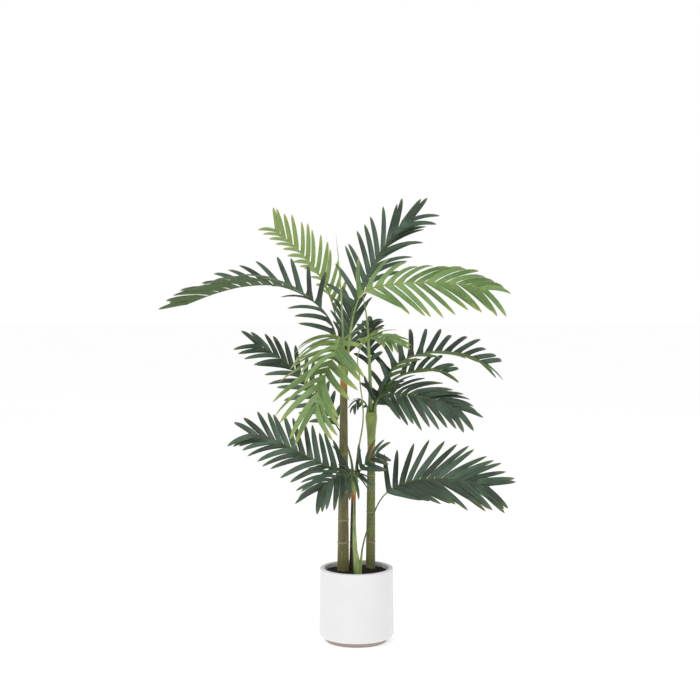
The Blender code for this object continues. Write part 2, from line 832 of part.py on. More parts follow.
def make_leaflet(bm, root, frame, path, side, width):
    """Draws a leaflet out of a face on the stalk's side: two rings and a point."""
    _, tangent, upper, _ = frame
    middle = root.calc_center_median()
    offsets = [vert.co - middle for vert in root.verts]
    keys = [(1 if offset.dot(tangent) > 0 else -1, 1 if offset.dot(upper) > 0 else -1) for offset in offsets]
    face = root
    for step, size in zip(RING_STEPS, RING_WIDTHS):
        corners = ring_corners(path[step], side, width * size, LEAFLET_THICK)
        face = extend(bm, face, [corners[key] for key in keys])
    close_to_point(bm, extend(bm, face, [vert.co for vert in face.verts]), path[-1][0])


def stalk_rings(grown):
    """The shares of the stalk's length where it has a ring: bare ones, then two at each pair."""
    frond = grown.frond
    rings = [frond.bare * STALK_BARE_END * i / STALK_BARE_RINGS for i in range(STALK_BARE_RINGS + 1)]
    half = ROOT_LENGTH / 2 / grown.route.length
    for pair in range(frond.pairs):
        share = pair_share(frond, pair)
        rings += [share - half, share + half]
    return rings


def make_frond(grown, mat):
    """One frond: the stalk, extruded ring by ring, and each leaflet drawn out of its side."""
    frond = grown.frond
    facing = Vector(frond.facing)
    bm = bmesh.new()
    face = None
    roots = {}
    for i, share in enumerate(stalk_rings(grown)):
        place, tangent, upper, right = frame_at(grown.route, min(share, 1.0), facing)
        half = stalk_half(share)
        corners = [
            place + right * (a * half) + upper * (b * half) for a, b in ((1, 1), (-1, 1), (-1, -1), (1, -1))
        ]
        if face is None:
            face = first_ring(bm, corners)
            continue
        before = list(face.verts)
        face = extend(bm, face, corners)
        after = list(face.verts)
        pair, odd = divmod(i - STALK_BARE_RINGS - 1, 2)
        if pair >= 0 and odd:
            roots[pair, -1] = bm.faces.get((before[1], before[2], after[2], after[1]))
            roots[pair, 1] = bm.faces.get((before[0], before[3], after[3], after[0]))
    tip = grown.route.places[-1] + tangent * TIP_REACH
    close_to_point(bm, extend(bm, face, [vert.co for vert in face.verts]), tip)
    for pair, side, path in grown.leaflets:
        frame = frame_at(grown.route, pair_share(frond, pair), facing)
        make_leaflet(bm, roots[pair, side], frame, path, side, frond.width)
    finish(bm, frond.name, mat)


def main():
    """Clears the scene and builds the palm."""
    for obj in list(bpy.data.objects):
        bpy.data.objects.remove(obj, do_unlink=True)
    make_pot()
    make_soil()
    for stem in STEMS:
        make_stem(stem)
        make_crown(stem)
    for spear in SPEARS:
        make_spear(spear)
    greens = {
        "dark": material("leaf_dark", (0.035, 0.085, 0.045), 0.5),
        "light": material("leaf_light", (0.12, 0.24, 0.07), 0.5),
    }
    for grown in grow():
        make_frond(grown, greens[grown.frond.tone])


main()
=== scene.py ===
"""The looks of a potted palm: three ringed stems with arching feather fronds in a white pot.

Metres, +Z up, and -Y is the front. Each frond is one piece. Its stalk and leaflets grow
by the same rule as the solid model's, so each piece lies where its solid does.
"""

import logging
import math
import random
from dataclasses import dataclass, field
from enum import Enum

import bpy
import numpy as np
from mathutils import Matrix, Vector
from mathutils.bvhtree import BVHTree


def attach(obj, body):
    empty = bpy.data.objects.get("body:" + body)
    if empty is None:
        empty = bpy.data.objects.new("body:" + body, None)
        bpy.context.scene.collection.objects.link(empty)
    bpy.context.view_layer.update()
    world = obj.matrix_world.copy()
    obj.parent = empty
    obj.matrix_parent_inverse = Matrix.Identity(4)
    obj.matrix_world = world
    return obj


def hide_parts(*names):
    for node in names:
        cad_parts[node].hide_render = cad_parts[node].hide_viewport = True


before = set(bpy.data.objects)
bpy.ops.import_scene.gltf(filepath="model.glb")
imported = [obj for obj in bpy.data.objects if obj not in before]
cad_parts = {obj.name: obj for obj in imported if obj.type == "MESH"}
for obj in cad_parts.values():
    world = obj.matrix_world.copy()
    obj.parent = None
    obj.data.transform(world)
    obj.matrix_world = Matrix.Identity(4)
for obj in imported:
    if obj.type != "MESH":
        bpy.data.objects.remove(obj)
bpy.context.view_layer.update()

log = logging.getLogger("palm")

# the pot's and the soil's levels, and the room between pieces
SOIL_TOP = 0.1865
STEM_DEPTH = 0.040
GAP = 0.0003
CROWN_MOUTH = 0.62
CROWN_LIFT = 0.010
SOIL_LIFT = 0.004

# leaflets
LEAFLET_STEPS = 6
LEAFLET_WIDTH = 0.015
LEAFLET_THICK = 0.0010
LEAFLET_TILT = 12.0
ROOT_WIDTH = 0.6
RING_STEPS = (2, 4)
RING_WIDTHS = (1.0, 0.85)
TIP_WIDTH = 0.2
RISE_DRIFT = 5.0
SPREAD_DRIFT = 4.0
LENGTH_DRIFT = 0.06
ARCH_DRIFT = 0.2
CLEARANCE = 0.0015
TURNS = (0.0, 10.0, -10.0, 20.0, -20.0, 30.0, -30.0)
REACHES = (1.0, 0.75, 0.5, 0.33)

# stalks
STALK_HALF = 0.0026
STALK_TIP_HALF = 0.0007
STALK_ROOM = 1.5
TUBE_STEP = 0.02
LAST_PAIR = 0.985

# spears
SPEAR_SHAPE = ((0.0, 0.8), (0.12, 1.0), (0.35, 0.95), (0.6, 0.7), (0.85, 0.35))  # share of length, of width

UP = Vector((0.0, 0.0, 1.0))


@dataclass(frozen=True)
class Stem:
    """A ringed stem: where it stands, how thick it is and where its crown is."""

    name: str
    foot: tuple  # x, y where it leaves the soil
    head: tuple  # x, y at its top
    top: float  # height of its top
    radii: tuple  # at the soil and at its top
    rings: tuple  # heights of its leaf scars
    crown: float  # height of the crownshaft
    crown_radius: float  # at the crownshaft's mouth


@dataclass(frozen=True)
class Row:
    """How one row of leaflets stands. Pairs of values are at its first leaflet and at its last."""

    rise: tuple = (20.0, 20.0)  # degrees it stands up from the blade
    spread: tuple = (60.0, 22.0)  # degrees between leaflet and stalk
    arch: float = 35.0  # degrees that a leaflet bends over, root to tip
    skip: int = 0  # leaflets missing at the foot of the row


@dataclass(frozen=True)
class Frond:
    """A feather frond: the route of its stalk, and how its two rows of leaflets stand."""

    name: str
    start: tuple  # (stem name, degrees round its crown), or (x, y) in the soil
    route: tuple  # points of the stalk past its start
    bare: float  # share of the stalk that holds no leaflets
    pairs: int
    longest: float  # longest leaflet
    facing: tuple  # the way the upper side of the blade looks
    left: Row = Row()
    right: Row = Row()
    sag: float = 0.15  # pull of their weight
    width: float = LEAFLET_WIDTH
    tone: str = "dark"


@dataclass(frozen=True)
class Spear:
    """A young frond that is still rolled up, or a shoot."""

    name: str
    start: tuple  # as a frond's
    route: tuple
    half: float  # half its width at its widest


STEMS = (
    Stem(
        name="left",
        foot=(-0.036, 0.010),
        head=(-0.034, 0.010),
        top=0.690,
        radii=(0.0160, 0.0095),
        rings=(0.262, 0.323, 0.400, 0.500),
        crown=0.060,
        crown_radius=0.0165,
    ),
    Stem(
        name="middle",
        foot=(-0.013, 0.028),
        head=(-0.008, 0.030),
        top=0.385,
        radii=(0.0070, 0.0065),
        rings=(0.250, 0.310),
        crown=0.045,
        crown_radius=0.0145,
    ),
    Stem(
        name="right",
        foot=(0.038, 0.040),
        head=(0.040, 0.040),
        top=0.510,
        radii=(0.0130, 0.0104),
        rings=(0.258, 0.340, 0.440),
        crown=0.100,
        crown_radius=0.0165,
    ),
)

FRONDS = (
    Frond(
        name="frond_left_high",
        start=("left", 180.0),
        route=((-0.070, 0.025, 0.855), (-0.125, 0.050, 0.915), (-0.210, 0.070, 0.950),
               (-0.300, 0.085, 0.950), (-0.385, 0.090, 0.930), (-0.455, 0.090, 0.903)),
        bare=0.14,
        pairs=16,
        longest=0.138,
        facing=(-0.1, 0.0, 1.0),
        left=Row(rise=(0.0, 88.0), spread=(55.0, 20.0), arch=35.0),
        right=Row(rise=(62.0, 70.0), spread=(60.0, 24.0), arch=32.0, skip=3),
    ),
    Frond(
        name="frond_right_light",
        start=("left", -15.0),
        route=((-0.005, -0.010, 0.885), (0.022, -0.025, 0.935), (0.090, -0.050, 0.953),
               (0.185, -0.085, 0.958), (0.265, -0.110, 0.955), (0.330, -0.130, 0.940)),
        bare=0.24,
        pairs=15,
        longest=0.125,
        facing=(0.1, -1.0, 0.35),
        left=Row(rise=(10.0, 10.0), spread=(55.0, 20.0), arch=60.0, skip=2),
        right=Row(rise=(5.0, 5.0), spread=(50.0, 20.0), arch=40.0, skip=3),
        tone="light",
    ),
    Frond(
        name="frond_right_high",
        start=("left", 30.0),
        route=((-0.008, 0.060, 0.900), (0.015, 0.070, 0.955), (0.060, 0.095, 1.035),
               (0.105, 0.115, 1.095), (0.145, 0.125, 1.130)),
        bare=0.3,
        pairs=13,
        longest=0.136,
        facing=(-0.2, -1.0, 0.2),
        left=Row(rise=(15.0, 25.0), spread=(58.0, 14.0), arch=28.0, skip=1),
        right=Row(rise=(20.0, 20.0), spread=(36.0, 14.0), arch=35.0, skip=3),
    ),
    Frond(
        name="frond_back_left",
        start=("left", 125.0),
        route=((-0.060, 0.110, 0.880), (-0.098, 0.180, 0.970), (-0.165, 0.255, 1.050),
               (-0.235, 0.300, 1.110)),
        bare=0.30,
        pairs=14,
        longest=0.105,
        facing=(0.4, 0.85, -0.3),
        left=Row(rise=(15.0, 15.0), spread=(42.0, 38.0), arch=40.0, skip=1),
        right=Row(rise=(85.0, 80.0), spread=(24.0, 20.0), arch=25.0, skip=2),
        tone="light",
    ),
    Frond(
        name="frond_right_mid",
        start=("right", 60.0),
        route=((0.062, 0.080, 0.670), (0.100, 0.100, 0.727), (0.165, 0.110, 0.760),
               (0.235, 0.110, 0.769), (0.300, 0.102, 0.760), (0.350, 0.094, 0.738)),
        bare=0.18,
        pairs=14,
        longest=0.108,
        facing=(0.0, -0.4, 1.0),
        left=Row(rise=(72.0, 60.0), spread=(82.0, 35.0), arch=68.0, skip=2),
        right=Row(rise=(32.0, 20.0), spread=(60.0, 25.0), arch=10.0),
    ),
    Frond(
        name="frond_right_drooping",
        start=("right", -30.0),
        route=((0.065, 0.010, 0.655), (0.115, -0.036, 0.665), (0.170, -0.075, 0.659),
               (0.215, -0.095, 0.651), (0.255, -0.108, 0.634)),
        bare=0.12,
        pairs=13,
        longest=0.110,
        facing=(0.1, -1.0, 0.5),
        left=Row(rise=(0.0, 0.0), spread=(58.0, 20.0), arch=35.0),
        right=Row(rise=(5.0, 5.0), spread=(58.0, 20.0), arch=30.0),
        width=0.017,
    ),
    Frond(
        name="frond_right_low",
        start=(0.010, -0.038),
        route=((0.018, -0.030, 0.265), (0.048, -0.022, 0.350), (0.078, -0.022, 0.398),
               (0.135, -0.030, 0.430), (0.215, -0.048, 0.442), (0.285, -0.064, 0.438),
               (0.335, -0.075, 0.428)),
        bare=0.5,
        pairs=14,
        longest=0.13,
        facing=(0.0, -1.0, 0.3),
        left=Row(rise=(8.0, 8.0), spread=(60.0, 23.0), arch=25.0),
        right=Row(rise=(8.0, 8.0), spread=(45.0, 22.0), arch=15.0),
        width=0.017,
        sag=0.1,
    ),
    Frond(
        name="frond_left_low",
        start=("middle", 225.0),
        route=((-0.019, -0.012, 0.448), (-0.042, -0.030, 0.458), (-0.080, -0.034, 0.474),
               (-0.140, -0.018, 0.502), (-0.200, 0.004, 0.530), (-0.245, 0.018, 0.546),
               (-0.278, 0.026, 0.549)),
        bare=0.15,
        pairs=13,
        longest=0.115,
        facing=(0.0, -1.0, 0.5),
        left=Row(rise=(10.0, 10.0), spread=(55.0, 14.0), arch=30.0),
        right=Row(rise=(10.0, 10.0), spread=(64.0, 30.0), arch=25.0),
        width=0.016,
    ),
    Frond(
        name="frond_left_mid",
        start=("middle", 100.0),
        route=((-0.015, 0.055, 0.480), (-0.032, 0.070, 0.530), (-0.072, 0.090, 0.595),
               (-0.125, 0.110, 0.665), (-0.185, 0.128, 0.730), (-0.235, 0.130, 0.767),
               (-0.275, 0.125, 0.787)),
        bare=0.36,
        pairs=12,
        longest=0.096,
        facing=(0.2, -1.0, 0.5),
        left=Row(rise=(10.0, 10.0), spread=(55.0, 25.0), arch=30.0),
        right=Row(rise=(15.0, 15.0), spread=(50.0, 25.0), arch=35.0),
    ),
    Frond(
        name="frond_front_left",
        start=("left", -140.0),
        route=((-0.052, -0.055, 0.780), (-0.072, -0.110, 0.738), (-0.092, -0.150, 0.690),
               (-0.100, -0.172, 0.645)),
        bare=0.2,
        pairs=9,
        longest=0.16,
        facing=(-0.2, -1.0, 0.7),
        left=Row(rise=(62.0, 58.0), spread=(50.0, 25.0), arch=40.0),
        right=Row(rise=(0.0, 0.0), spread=(72.0, 30.0), arch=28.0),
        tone="light",
        width=0.02,
    ),
    Frond(
        name="frond_front_high",
        start=("left", -95.0),
        route=((-0.034, -0.040, 0.805), (-0.040, -0.085, 0.812), (-0.048, -0.130, 0.800),
               (-0.054, -0.165, 0.775)),
        bare=0.22,
        pairs=7,
        longest=0.145,
        facing=(0.0, -0.2, 1.0),
        left=Row(rise=(5.0, 0.0), spread=(60.0, 35.0), arch=55.0, skip=1),
        right=Row(rise=(25.0, 10.0), spread=(85.0, 50.0), arch=55.0),
        tone="light",
        width=0.018,
    ),
    Frond(
        name="frond_right_inner",
        start=("right", 10.0),
        route=((0.065, 0.050, 0.662), (0.102, 0.056, 0.696), (0.155, 0.056, 0.718),
               (0.200, 0.050, 0.724), (0.235, 0.042, 0.716)),
        bare=0.10,
        pairs=11,
        longest=0.080,
        facing=(0.0, -0.4, 1.0),
        left=Row(rise=(72.0, 60.0), spread=(84.0, 35.0), arch=60.0, skip=1),
        right=Row(rise=(32.0, 20.0), spread=(60.0, 20.0), arch=8.0),
    ),
    Frond(
        name="frond_front_right",
        start=("middle", 48.0),
        route=((0.004, 0.002, 0.505), (0.018, -0.008, 0.600), (0.008, -0.024, 0.705),
               (0.004, -0.045, 0.770), (0.030, -0.085, 0.808), (0.060, -0.115, 0.812),
               (0.090, -0.145, 0.805)),
        bare=0.76,
        pairs=7,
        longest=0.080,
        facing=(0.0, -0.7, 1.0),
        left=Row(rise=(15.0, 15.0), spread=(60.0, 20.0), arch=35.0),
        right=Row(rise=(45.0, 35.0), spread=(55.0, 20.0), arch=25.0),
        tone="light",
    ),
    Frond(
        name="frond_front_low",
        start=("middle", -85.0),
        route=((-0.009, -0.030, 0.452), (-0.035, -0.080, 0.458), (-0.068, -0.120, 0.446),
               (-0.092, -0.145, 0.428)),
        bare=0.15,
        pairs=10,
        longest=0.1,
        facing=(-0.1, -1.0, 0.8),
        left=Row(rise=(5.0, 5.0), spread=(75.0, 25.0), arch=30.0),
        right=Row(rise=(5.0, 5.0), spread=(75.0, 25.0), arch=30.0),
        width=0.017,
    ),
    Frond(
        name="frond_front_inner",
        start=("middle", -35.0),
        route=((0.006, -0.035, 0.455), (0.022, -0.065, 0.482), (0.040, -0.090, 0.502),
               (0.055, -0.110, 0.515)),
        bare=0.15,
        pairs=7,
        longest=0.065,
        facing=(0.2, -1.0, 0.6),
        left=Row(rise=(5.0, 5.0), spread=(70.0, 30.0), arch=35.0),
        right=Row(rise=(5.0, 5.0), spread=(70.0, 30.0), arch=35.0),
    ),
    Frond(
        name="frond_back",
        start=("left", 75.0),
        route=((-0.022, 0.045, 0.800), (-0.018, 0.068, 0.850), (-0.014, 0.085, 0.890)),
        bare=0.15,
        pairs=7,
        longest=0.105,
        facing=(0.0, -1.0, 0.2),
        left=Row(rise=(10.0, 10.0), spread=(30.0, 24.0), arch=15.0),
        right=Row(rise=(10.0, 10.0), spread=(30.0, 24.0), arch=15.0),
        width=0.013,
    ),
    Frond(
        name="frond_back_right",
        start=("right", 120.0),
        route=((0.034, 0.085, 0.720), (0.033, 0.105, 0.780), (0.036, 0.125, 0.820),
               (0.042, 0.145, 0.845)),
        bare=0.55,
        pairs=6,
        longest=0.065,
        facing=(0.0, -0.3, 1.0),
        left=Row(rise=(15.0, 15.0), spread=(45.0, 20.0), arch=35.0),
        right=Row(rise=(15.0, 15.0), spread=(45.0, 20.0), arch=35.0),
    ),
    Frond(
        name="frond_curled",
        start=("right", 200.0),
        route=((0.018, 0.020, 0.642), (0.004, 0.000, 0.645), (-0.006, -0.018, 0.630)),
        bare=0.25,
        pairs=4,
        longest=0.034,
        facing=(0.0, -0.5, 1.0),
        left=Row(rise=(0.0, 0.0), spread=(50.0, 20.0), arch=50.0),
        right=Row(rise=(0.0, 0.0), spread=(50.0, 20.0), arch=50.0),
        width=0.009,
    ),
)

SPEARS = (
    Spear(
        name="spear_left",
        start=("left", None),
        route=((-0.040, 0.002, 0.910), (-0.048, -0.004, 1.020), (-0.055, -0.008, 1.090)),
        half=0.0030,
    ),
    Spear(
        name="spear_right",
        start=("right", None),
        route=((0.034, 0.036, 0.760), (0.028, 0.026, 0.860), (0.012, 0.016, 0.950)),
        half=0.0048,
    ),
    Spear(
        name="shoot",
        start=(-0.002, -0.036),
        route=((-0.006, -0.034, 0.280), (-0.008, -0.032, 0.385)),
        half=0.0060,
    ),
)


class Route:
    """A smooth curve through a few points, read by its share of the length."""

    def __init__(self, points: tuple, steps: int = 10) -> None:
        knots = [Vector(point) for point in points]
        last = len(knots) - 1
        slopes = [(knots[min(i + 1, last)] - knots[max(i - 1, 0)]).normalized() for i in range(last + 1)]
        self.places = [knots[0]]
        for i in range(last):
            reach = (knots[i + 1] - knots[i]).length / 3
            leaving = knots[i] + slopes[i] * reach
            arriving = knots[i + 1] - slopes[i + 1] * reach
            ends = (knots[i], leaving, arriving, knots[i + 1])
            for step in range(1, steps + 1):
                self.places.append(bezier(ends, step / steps))
        self.walked = [0.0]
        for before, after in zip(self.places, self.places[1:]):
            self.walked.append(self.walked[-1] + (after - before).length)
        self.length = self.walked[-1]

    def at(self, share: float) -> tuple:
        """The place and the direction at this share of the length.

        Args:
            share: share of the way, 0 to 1.

        Returns:
            The place and the direction.
        """
        wanted = share * self.length
        i = 1
        while i < len(self.walked) - 1 and self.walked[i] < wanted:
            i += 1
        before, after = self.places[i - 1], self.places[i]
        part = (wanted - self.walked[i - 1]) / (self.walked[i] - self.walked[i - 1])
        return before.lerp(after, part), (after - before).normalized()


def bezier(ends: tuple, t: float) -> Vector:
    """The point at t of a cubic curve.

    Args:
        ends: the values or points at the ends.
        t: share of the way, 0 to 1.

    Returns:
        The point.
    """
    a, b, c, d = ends
    s = 1 - t
    return a * s**3 + b * 3 * s * s * t + c * 3 * s * t * t + d * t**3


def stem_named(name: str) -> Stem:
    """The stem with this name."""
    return next(stem for stem in STEMS if stem.name == name)


def start_points(start: tuple) -> tuple:
    """The first two points of a stalk: straight up out of a crown, or out of the soil.

    Args:
        start: stem and angle, or the place in the soil.

    Returns:
        The two points.
    """
    if isinstance(start[0], str):
        stem = stem_named(start[0])
        centre = Vector((*stem.head, stem.top + GAP + stem.crown + GAP))
        if start[1] is not None:
            angle = math.radians(start[1])
            centre += Vector((math.cos(angle), math.sin(angle), 0.0)) * stem.crown_radius * CROWN_MOUTH
        return centre, centre + UP * CROWN_LIFT
    foot = Vector((*start, SOIL_TOP - STEM_DEPTH / 2))
    return foot, foot + UP * (STEM_DEPTH / 2 + SOIL_LIFT)


def frame_at(route: Route, share: float, facing: Vector) -> tuple:
    """Place, direction, upper side and right-hand side of a blade at this share of its stalk.

    Args:
        route: the curve it follows.
        share: share of the way, 0 to 1.
        facing: the way the upper side looks.

    Returns:
        The four vectors.
    """
    place, tangent = route.at(share)
    upper = (facing - tangent * facing.dot(tangent)).normalized()
    return place, tangent, upper, tangent.cross(upper)


def between(ends: tuple, share: float) -> float:
    """The value at this share of the way from the first to the second."""
    return ends[0] + (ends[1] - ends[0]) * share


def stalk_half(share: float) -> float:
    """Half the stalk's thickness at this share of its length."""
    return STALK_HALF + (STALK_TIP_HALF - STALK_HALF) * share


def length_share(along: float) -> float:
    """A leaflet's length as a share of the frond's longest: short at both ends of the row."""
    return 0.45 + 0.55 * math.sin(math.pi * (0.16 + 0.66 * along))


def leaflet_path(
    frond: Frond, stance: tuple, along: float, side: int, turn: float, reach: float, drift: list
) -> list:
    """A leaflet's (place, heading, upper side) from its root to its tip.

    Args:
        frond: the frond the leaflet is on.
        stance: place, direction, upper side and right-hand side of the blade there.
        along: the leaflet's place in its row, 0 to 1.
        side: 1 on the right, -1 on the left.
        turn: degrees that the growth rule turns it.
        reach: share of its length that it keeps.
        drift: its own small differences in angle and length.

    Returns:
        The path, root first.
    """
    place, tangent, upper, right = stance
    row = frond.left if side < 0 else frond.right
    rise = math.radians(between(row.rise, along) + turn + RISE_DRIFT * drift[0])
    spread = math.radians(between(row.spread, along) + SPREAD_DRIFT * drift[1])
    outward = right * side * math.cos(rise) + upper * math.sin(rise)
    leaf_up = upper * math.cos(rise) - right * side * math.sin(rise)
    heading = tangent * math.cos(spread) + outward * math.sin(spread)
    length = frond.longest * length_share(along) * (1 + LENGTH_DRIFT * drift[2])
    step = length * reach / LEAFLET_STEPS
    bend = math.radians(row.arch * (1 + ARCH_DRIFT * drift[1])) / LEAFLET_STEPS
    place = place + outward * stalk_half(along)
    path = [(place, heading, leaf_up)]
    for _ in range(LEAFLET_STEPS):
        heading = (heading - leaf_up * math.tan(bend) - UP * frond.sag / LEAFLET_STEPS).normalized()
        leaf_up = (leaf_up - heading * leaf_up.dot(heading)).normalized()
        place = place + heading * step
        path.append((place, heading, leaf_up))
    return path


def ring_corners(point: tuple, side: int, width: float, thick: float) -> dict:
    """Four corners across a leaflet, keyed by (ahead, above): its front or rear edge, upper or under side.

    Args:
        point: place, heading and upper side.
        side: 1 on the right, -1 on the left.
        width: width of the blade in metres.
        thick: thickness in metres.

    Returns:
        The corners.
    """
    place, heading, upper = point
    tilt = Matrix.Rotation(math.radians(LEAFLET_TILT) * side, 3, heading)
    ahead = tilt @ (upper.cross(heading) * side)
    above = tilt @ upper
    return {
        (a, b): place + ahead * (a * width / 2) + above * (b * thick / 2)
        for a in (-1, 1)
        for b in (-1, 1)
    }


def leaflet_shell(path: list, side: int, width: float) -> tuple:
    """Vertices and faces of a leaflet with room around it, for the growth rule's test.

    Args:
        path: the leaflet's places from root to tip.
        side: 1 on the right, -1 on the left.
        width: width of the blade in metres.

    Returns:
        Points and faces.
    """
    order = ((-1, -1), (1, -1), (1, 1), (-1, 1))
    rings = (*RING_STEPS, LEAFLET_STEPS)
    sizes = [width * share for share in (*RING_WIDTHS, TIP_WIDTH)]
    thick = LEAFLET_THICK + 2 * CLEARANCE
    corners = [ring_corners(path[0], side, width * ROOT_WIDTH, thick)]
    corners += [
        ring_corners(path[step], side, size + 2 * CLEARANCE, thick) for step, size in zip(rings, sizes)
    ]
    points = [ring[key] for ring in corners for key in order]
    faces = [
        (4 * i + j, 4 * i + (j + 1) % 4, 4 * i + 4 + (j + 1) % 4, 4 * i + 4 + j)
        for i in range(len(rings))
        for j in range(4)
    ]
    return points, faces


def tube_shell(route: Route, halves: tuple, sides: int = 6) -> tuple:
    """Vertices and faces of a round bar along a route, for the growth rule's test.

    Args:
        route: the curve it follows.
        halves: half widths at the two ends.
        sides: how many sides it has.

    Returns:
        Points and faces.
    """
    points, faces = [], []
    steps = max(4, int(route.length / TUBE_STEP))
    for i in range(steps + 1):
        place, tangent = route.at(i / steps)
        turn = tangent.to_track_quat("Z", "Y")
        half = halves[0] + (halves[1] - halves[0]) * i / steps
        for j in range(sides):
            angle = 2 * math.pi * j / sides
            points.append(place + turn @ Vector((half * math.cos(angle), half * math.sin(angle), 0.0)))
    for i in range(steps):
        for j in range(sides):
            k = (j + 1) % sides
            faces.append((sides * i + j, sides * i + k, sides * i + sides + k, sides * i + sides + j))
    return points, faces


@dataclass
class Grown:
    """A frond after growth: its stalk's route and the leaflets that found room."""

    frond: Frond
    route: Route
    leaflets: list  # (pair number, side, path)


def stem_obstacles() -> list:
    """What every frond keeps clear of: the stems with their crowns.

    Returns:
        Their shells.
    """
    shells = []
    for stem in STEMS:
        low = Route(((*stem.foot, SOIL_TOP), (*stem.head, stem.top)))
        high = Route(((*stem.head, stem.top), (*stem.head, stem.top + stem.crown)))
        shells.append(tube_shell(low, stem.radii))
        shells.append(tube_shell(high, (stem.radii[1], stem.crown_radius)))
    return shells


def grow() -> list:
    """Lays out every stalk, then every leaflet that has room, frond by frond.

    Returns:
        The grown fronds in order.
    """
    routes = {frond.name: Route((*start_points(frond.start), *frond.route)) for frond in FRONDS}
    fixed = [BVHTree.FromPolygons(*shell) for shell in stem_obstacles()]
    for spear in SPEARS:
        route = Route((*start_points(spear.start), *spear.route))
        fixed.append(BVHTree.FromPolygons(*tube_shell(route, (spear.half, spear.half / 2))))
    stalks = {
        name: BVHTree.FromPolygons(*tube_shell(route, (STALK_HALF * STALK_ROOM, STALK_TIP_HALF * STALK_ROOM)))
        for name, route in routes.items()
    }
    done = []
    grown = []
    for frond in FRONDS:
        others = fixed + done + [tree for name, tree in stalks.items() if name != frond.name]
        leaflets = grow_leaflets(frond, routes[frond.name], others)
        shells = [leaflet_shell(path, side, frond.width) for _, side, path in leaflets]
        done += [BVHTree.FromPolygons(*shell) for shell in shells]
        grown.append(Grown(frond, routes[frond.name], leaflets))
    return grown


def pair_share(frond: Frond, pair: int) -> float:
    """The share of the stalk's length at this pair of leaflets."""
    return frond.bare + (LAST_PAIR - frond.bare) * pair / (frond.pairs - 1)


def grow_leaflets(frond: Frond, route: Route, others: list) -> list:
    """The frond's leaflets, each turned or shortened until it is clear of its neighbours.

    Args:
        frond: the frond the leaflet is on.
        route: the curve it follows.
        others: the shapes to stay clear of.

    Returns:
        Pair, side and path of each.
    """
    chance = random.Random(frond.name)
    facing = Vector(frond.facing)
    leaflets = []
    for pair in range(frond.pairs):
        stance = frame_at(route, pair_share(frond, pair), facing)
        for side, row in ((-1, frond.left), (1, frond.right)):
            drift = [chance.uniform(-1.0, 1.0) for _ in range(3)]
            if pair < row.skip:
                continue
            path = first_clear(frond, stance, pair / (frond.pairs - 1), side, drift, others)
            if path:
                leaflets.append((pair, side, path))
    return leaflets


def first_clear(
    frond: Frond, stance: tuple, along: float, side: int, drift: list, others: list
) -> list | None:
    """The first of the leaflet's tries that touches none of the others, or None.

    Args:
        frond: the frond the leaflet is on.
        stance: place, direction, upper side and right-hand side of the blade there.
        along: the leaflet's place in its row, 0 to 1.
        side: 1 on the right, -1 on the left.
        drift: its own small differences in angle and length.
        others: the shapes to stay clear of.

    Returns:
        Its path, or None.
    """
    for reach in REACHES:
        for turn in TURNS:
            path = leaflet_path(frond, stance, along, side, turn, reach, drift)
            tree = BVHTree.FromPolygons(*leaflet_shell(path, side, frond.width))
            if not any(tree.overlap(other) for other in others):
                return path
    return None


# ---------------------------------------------------------------- finishes


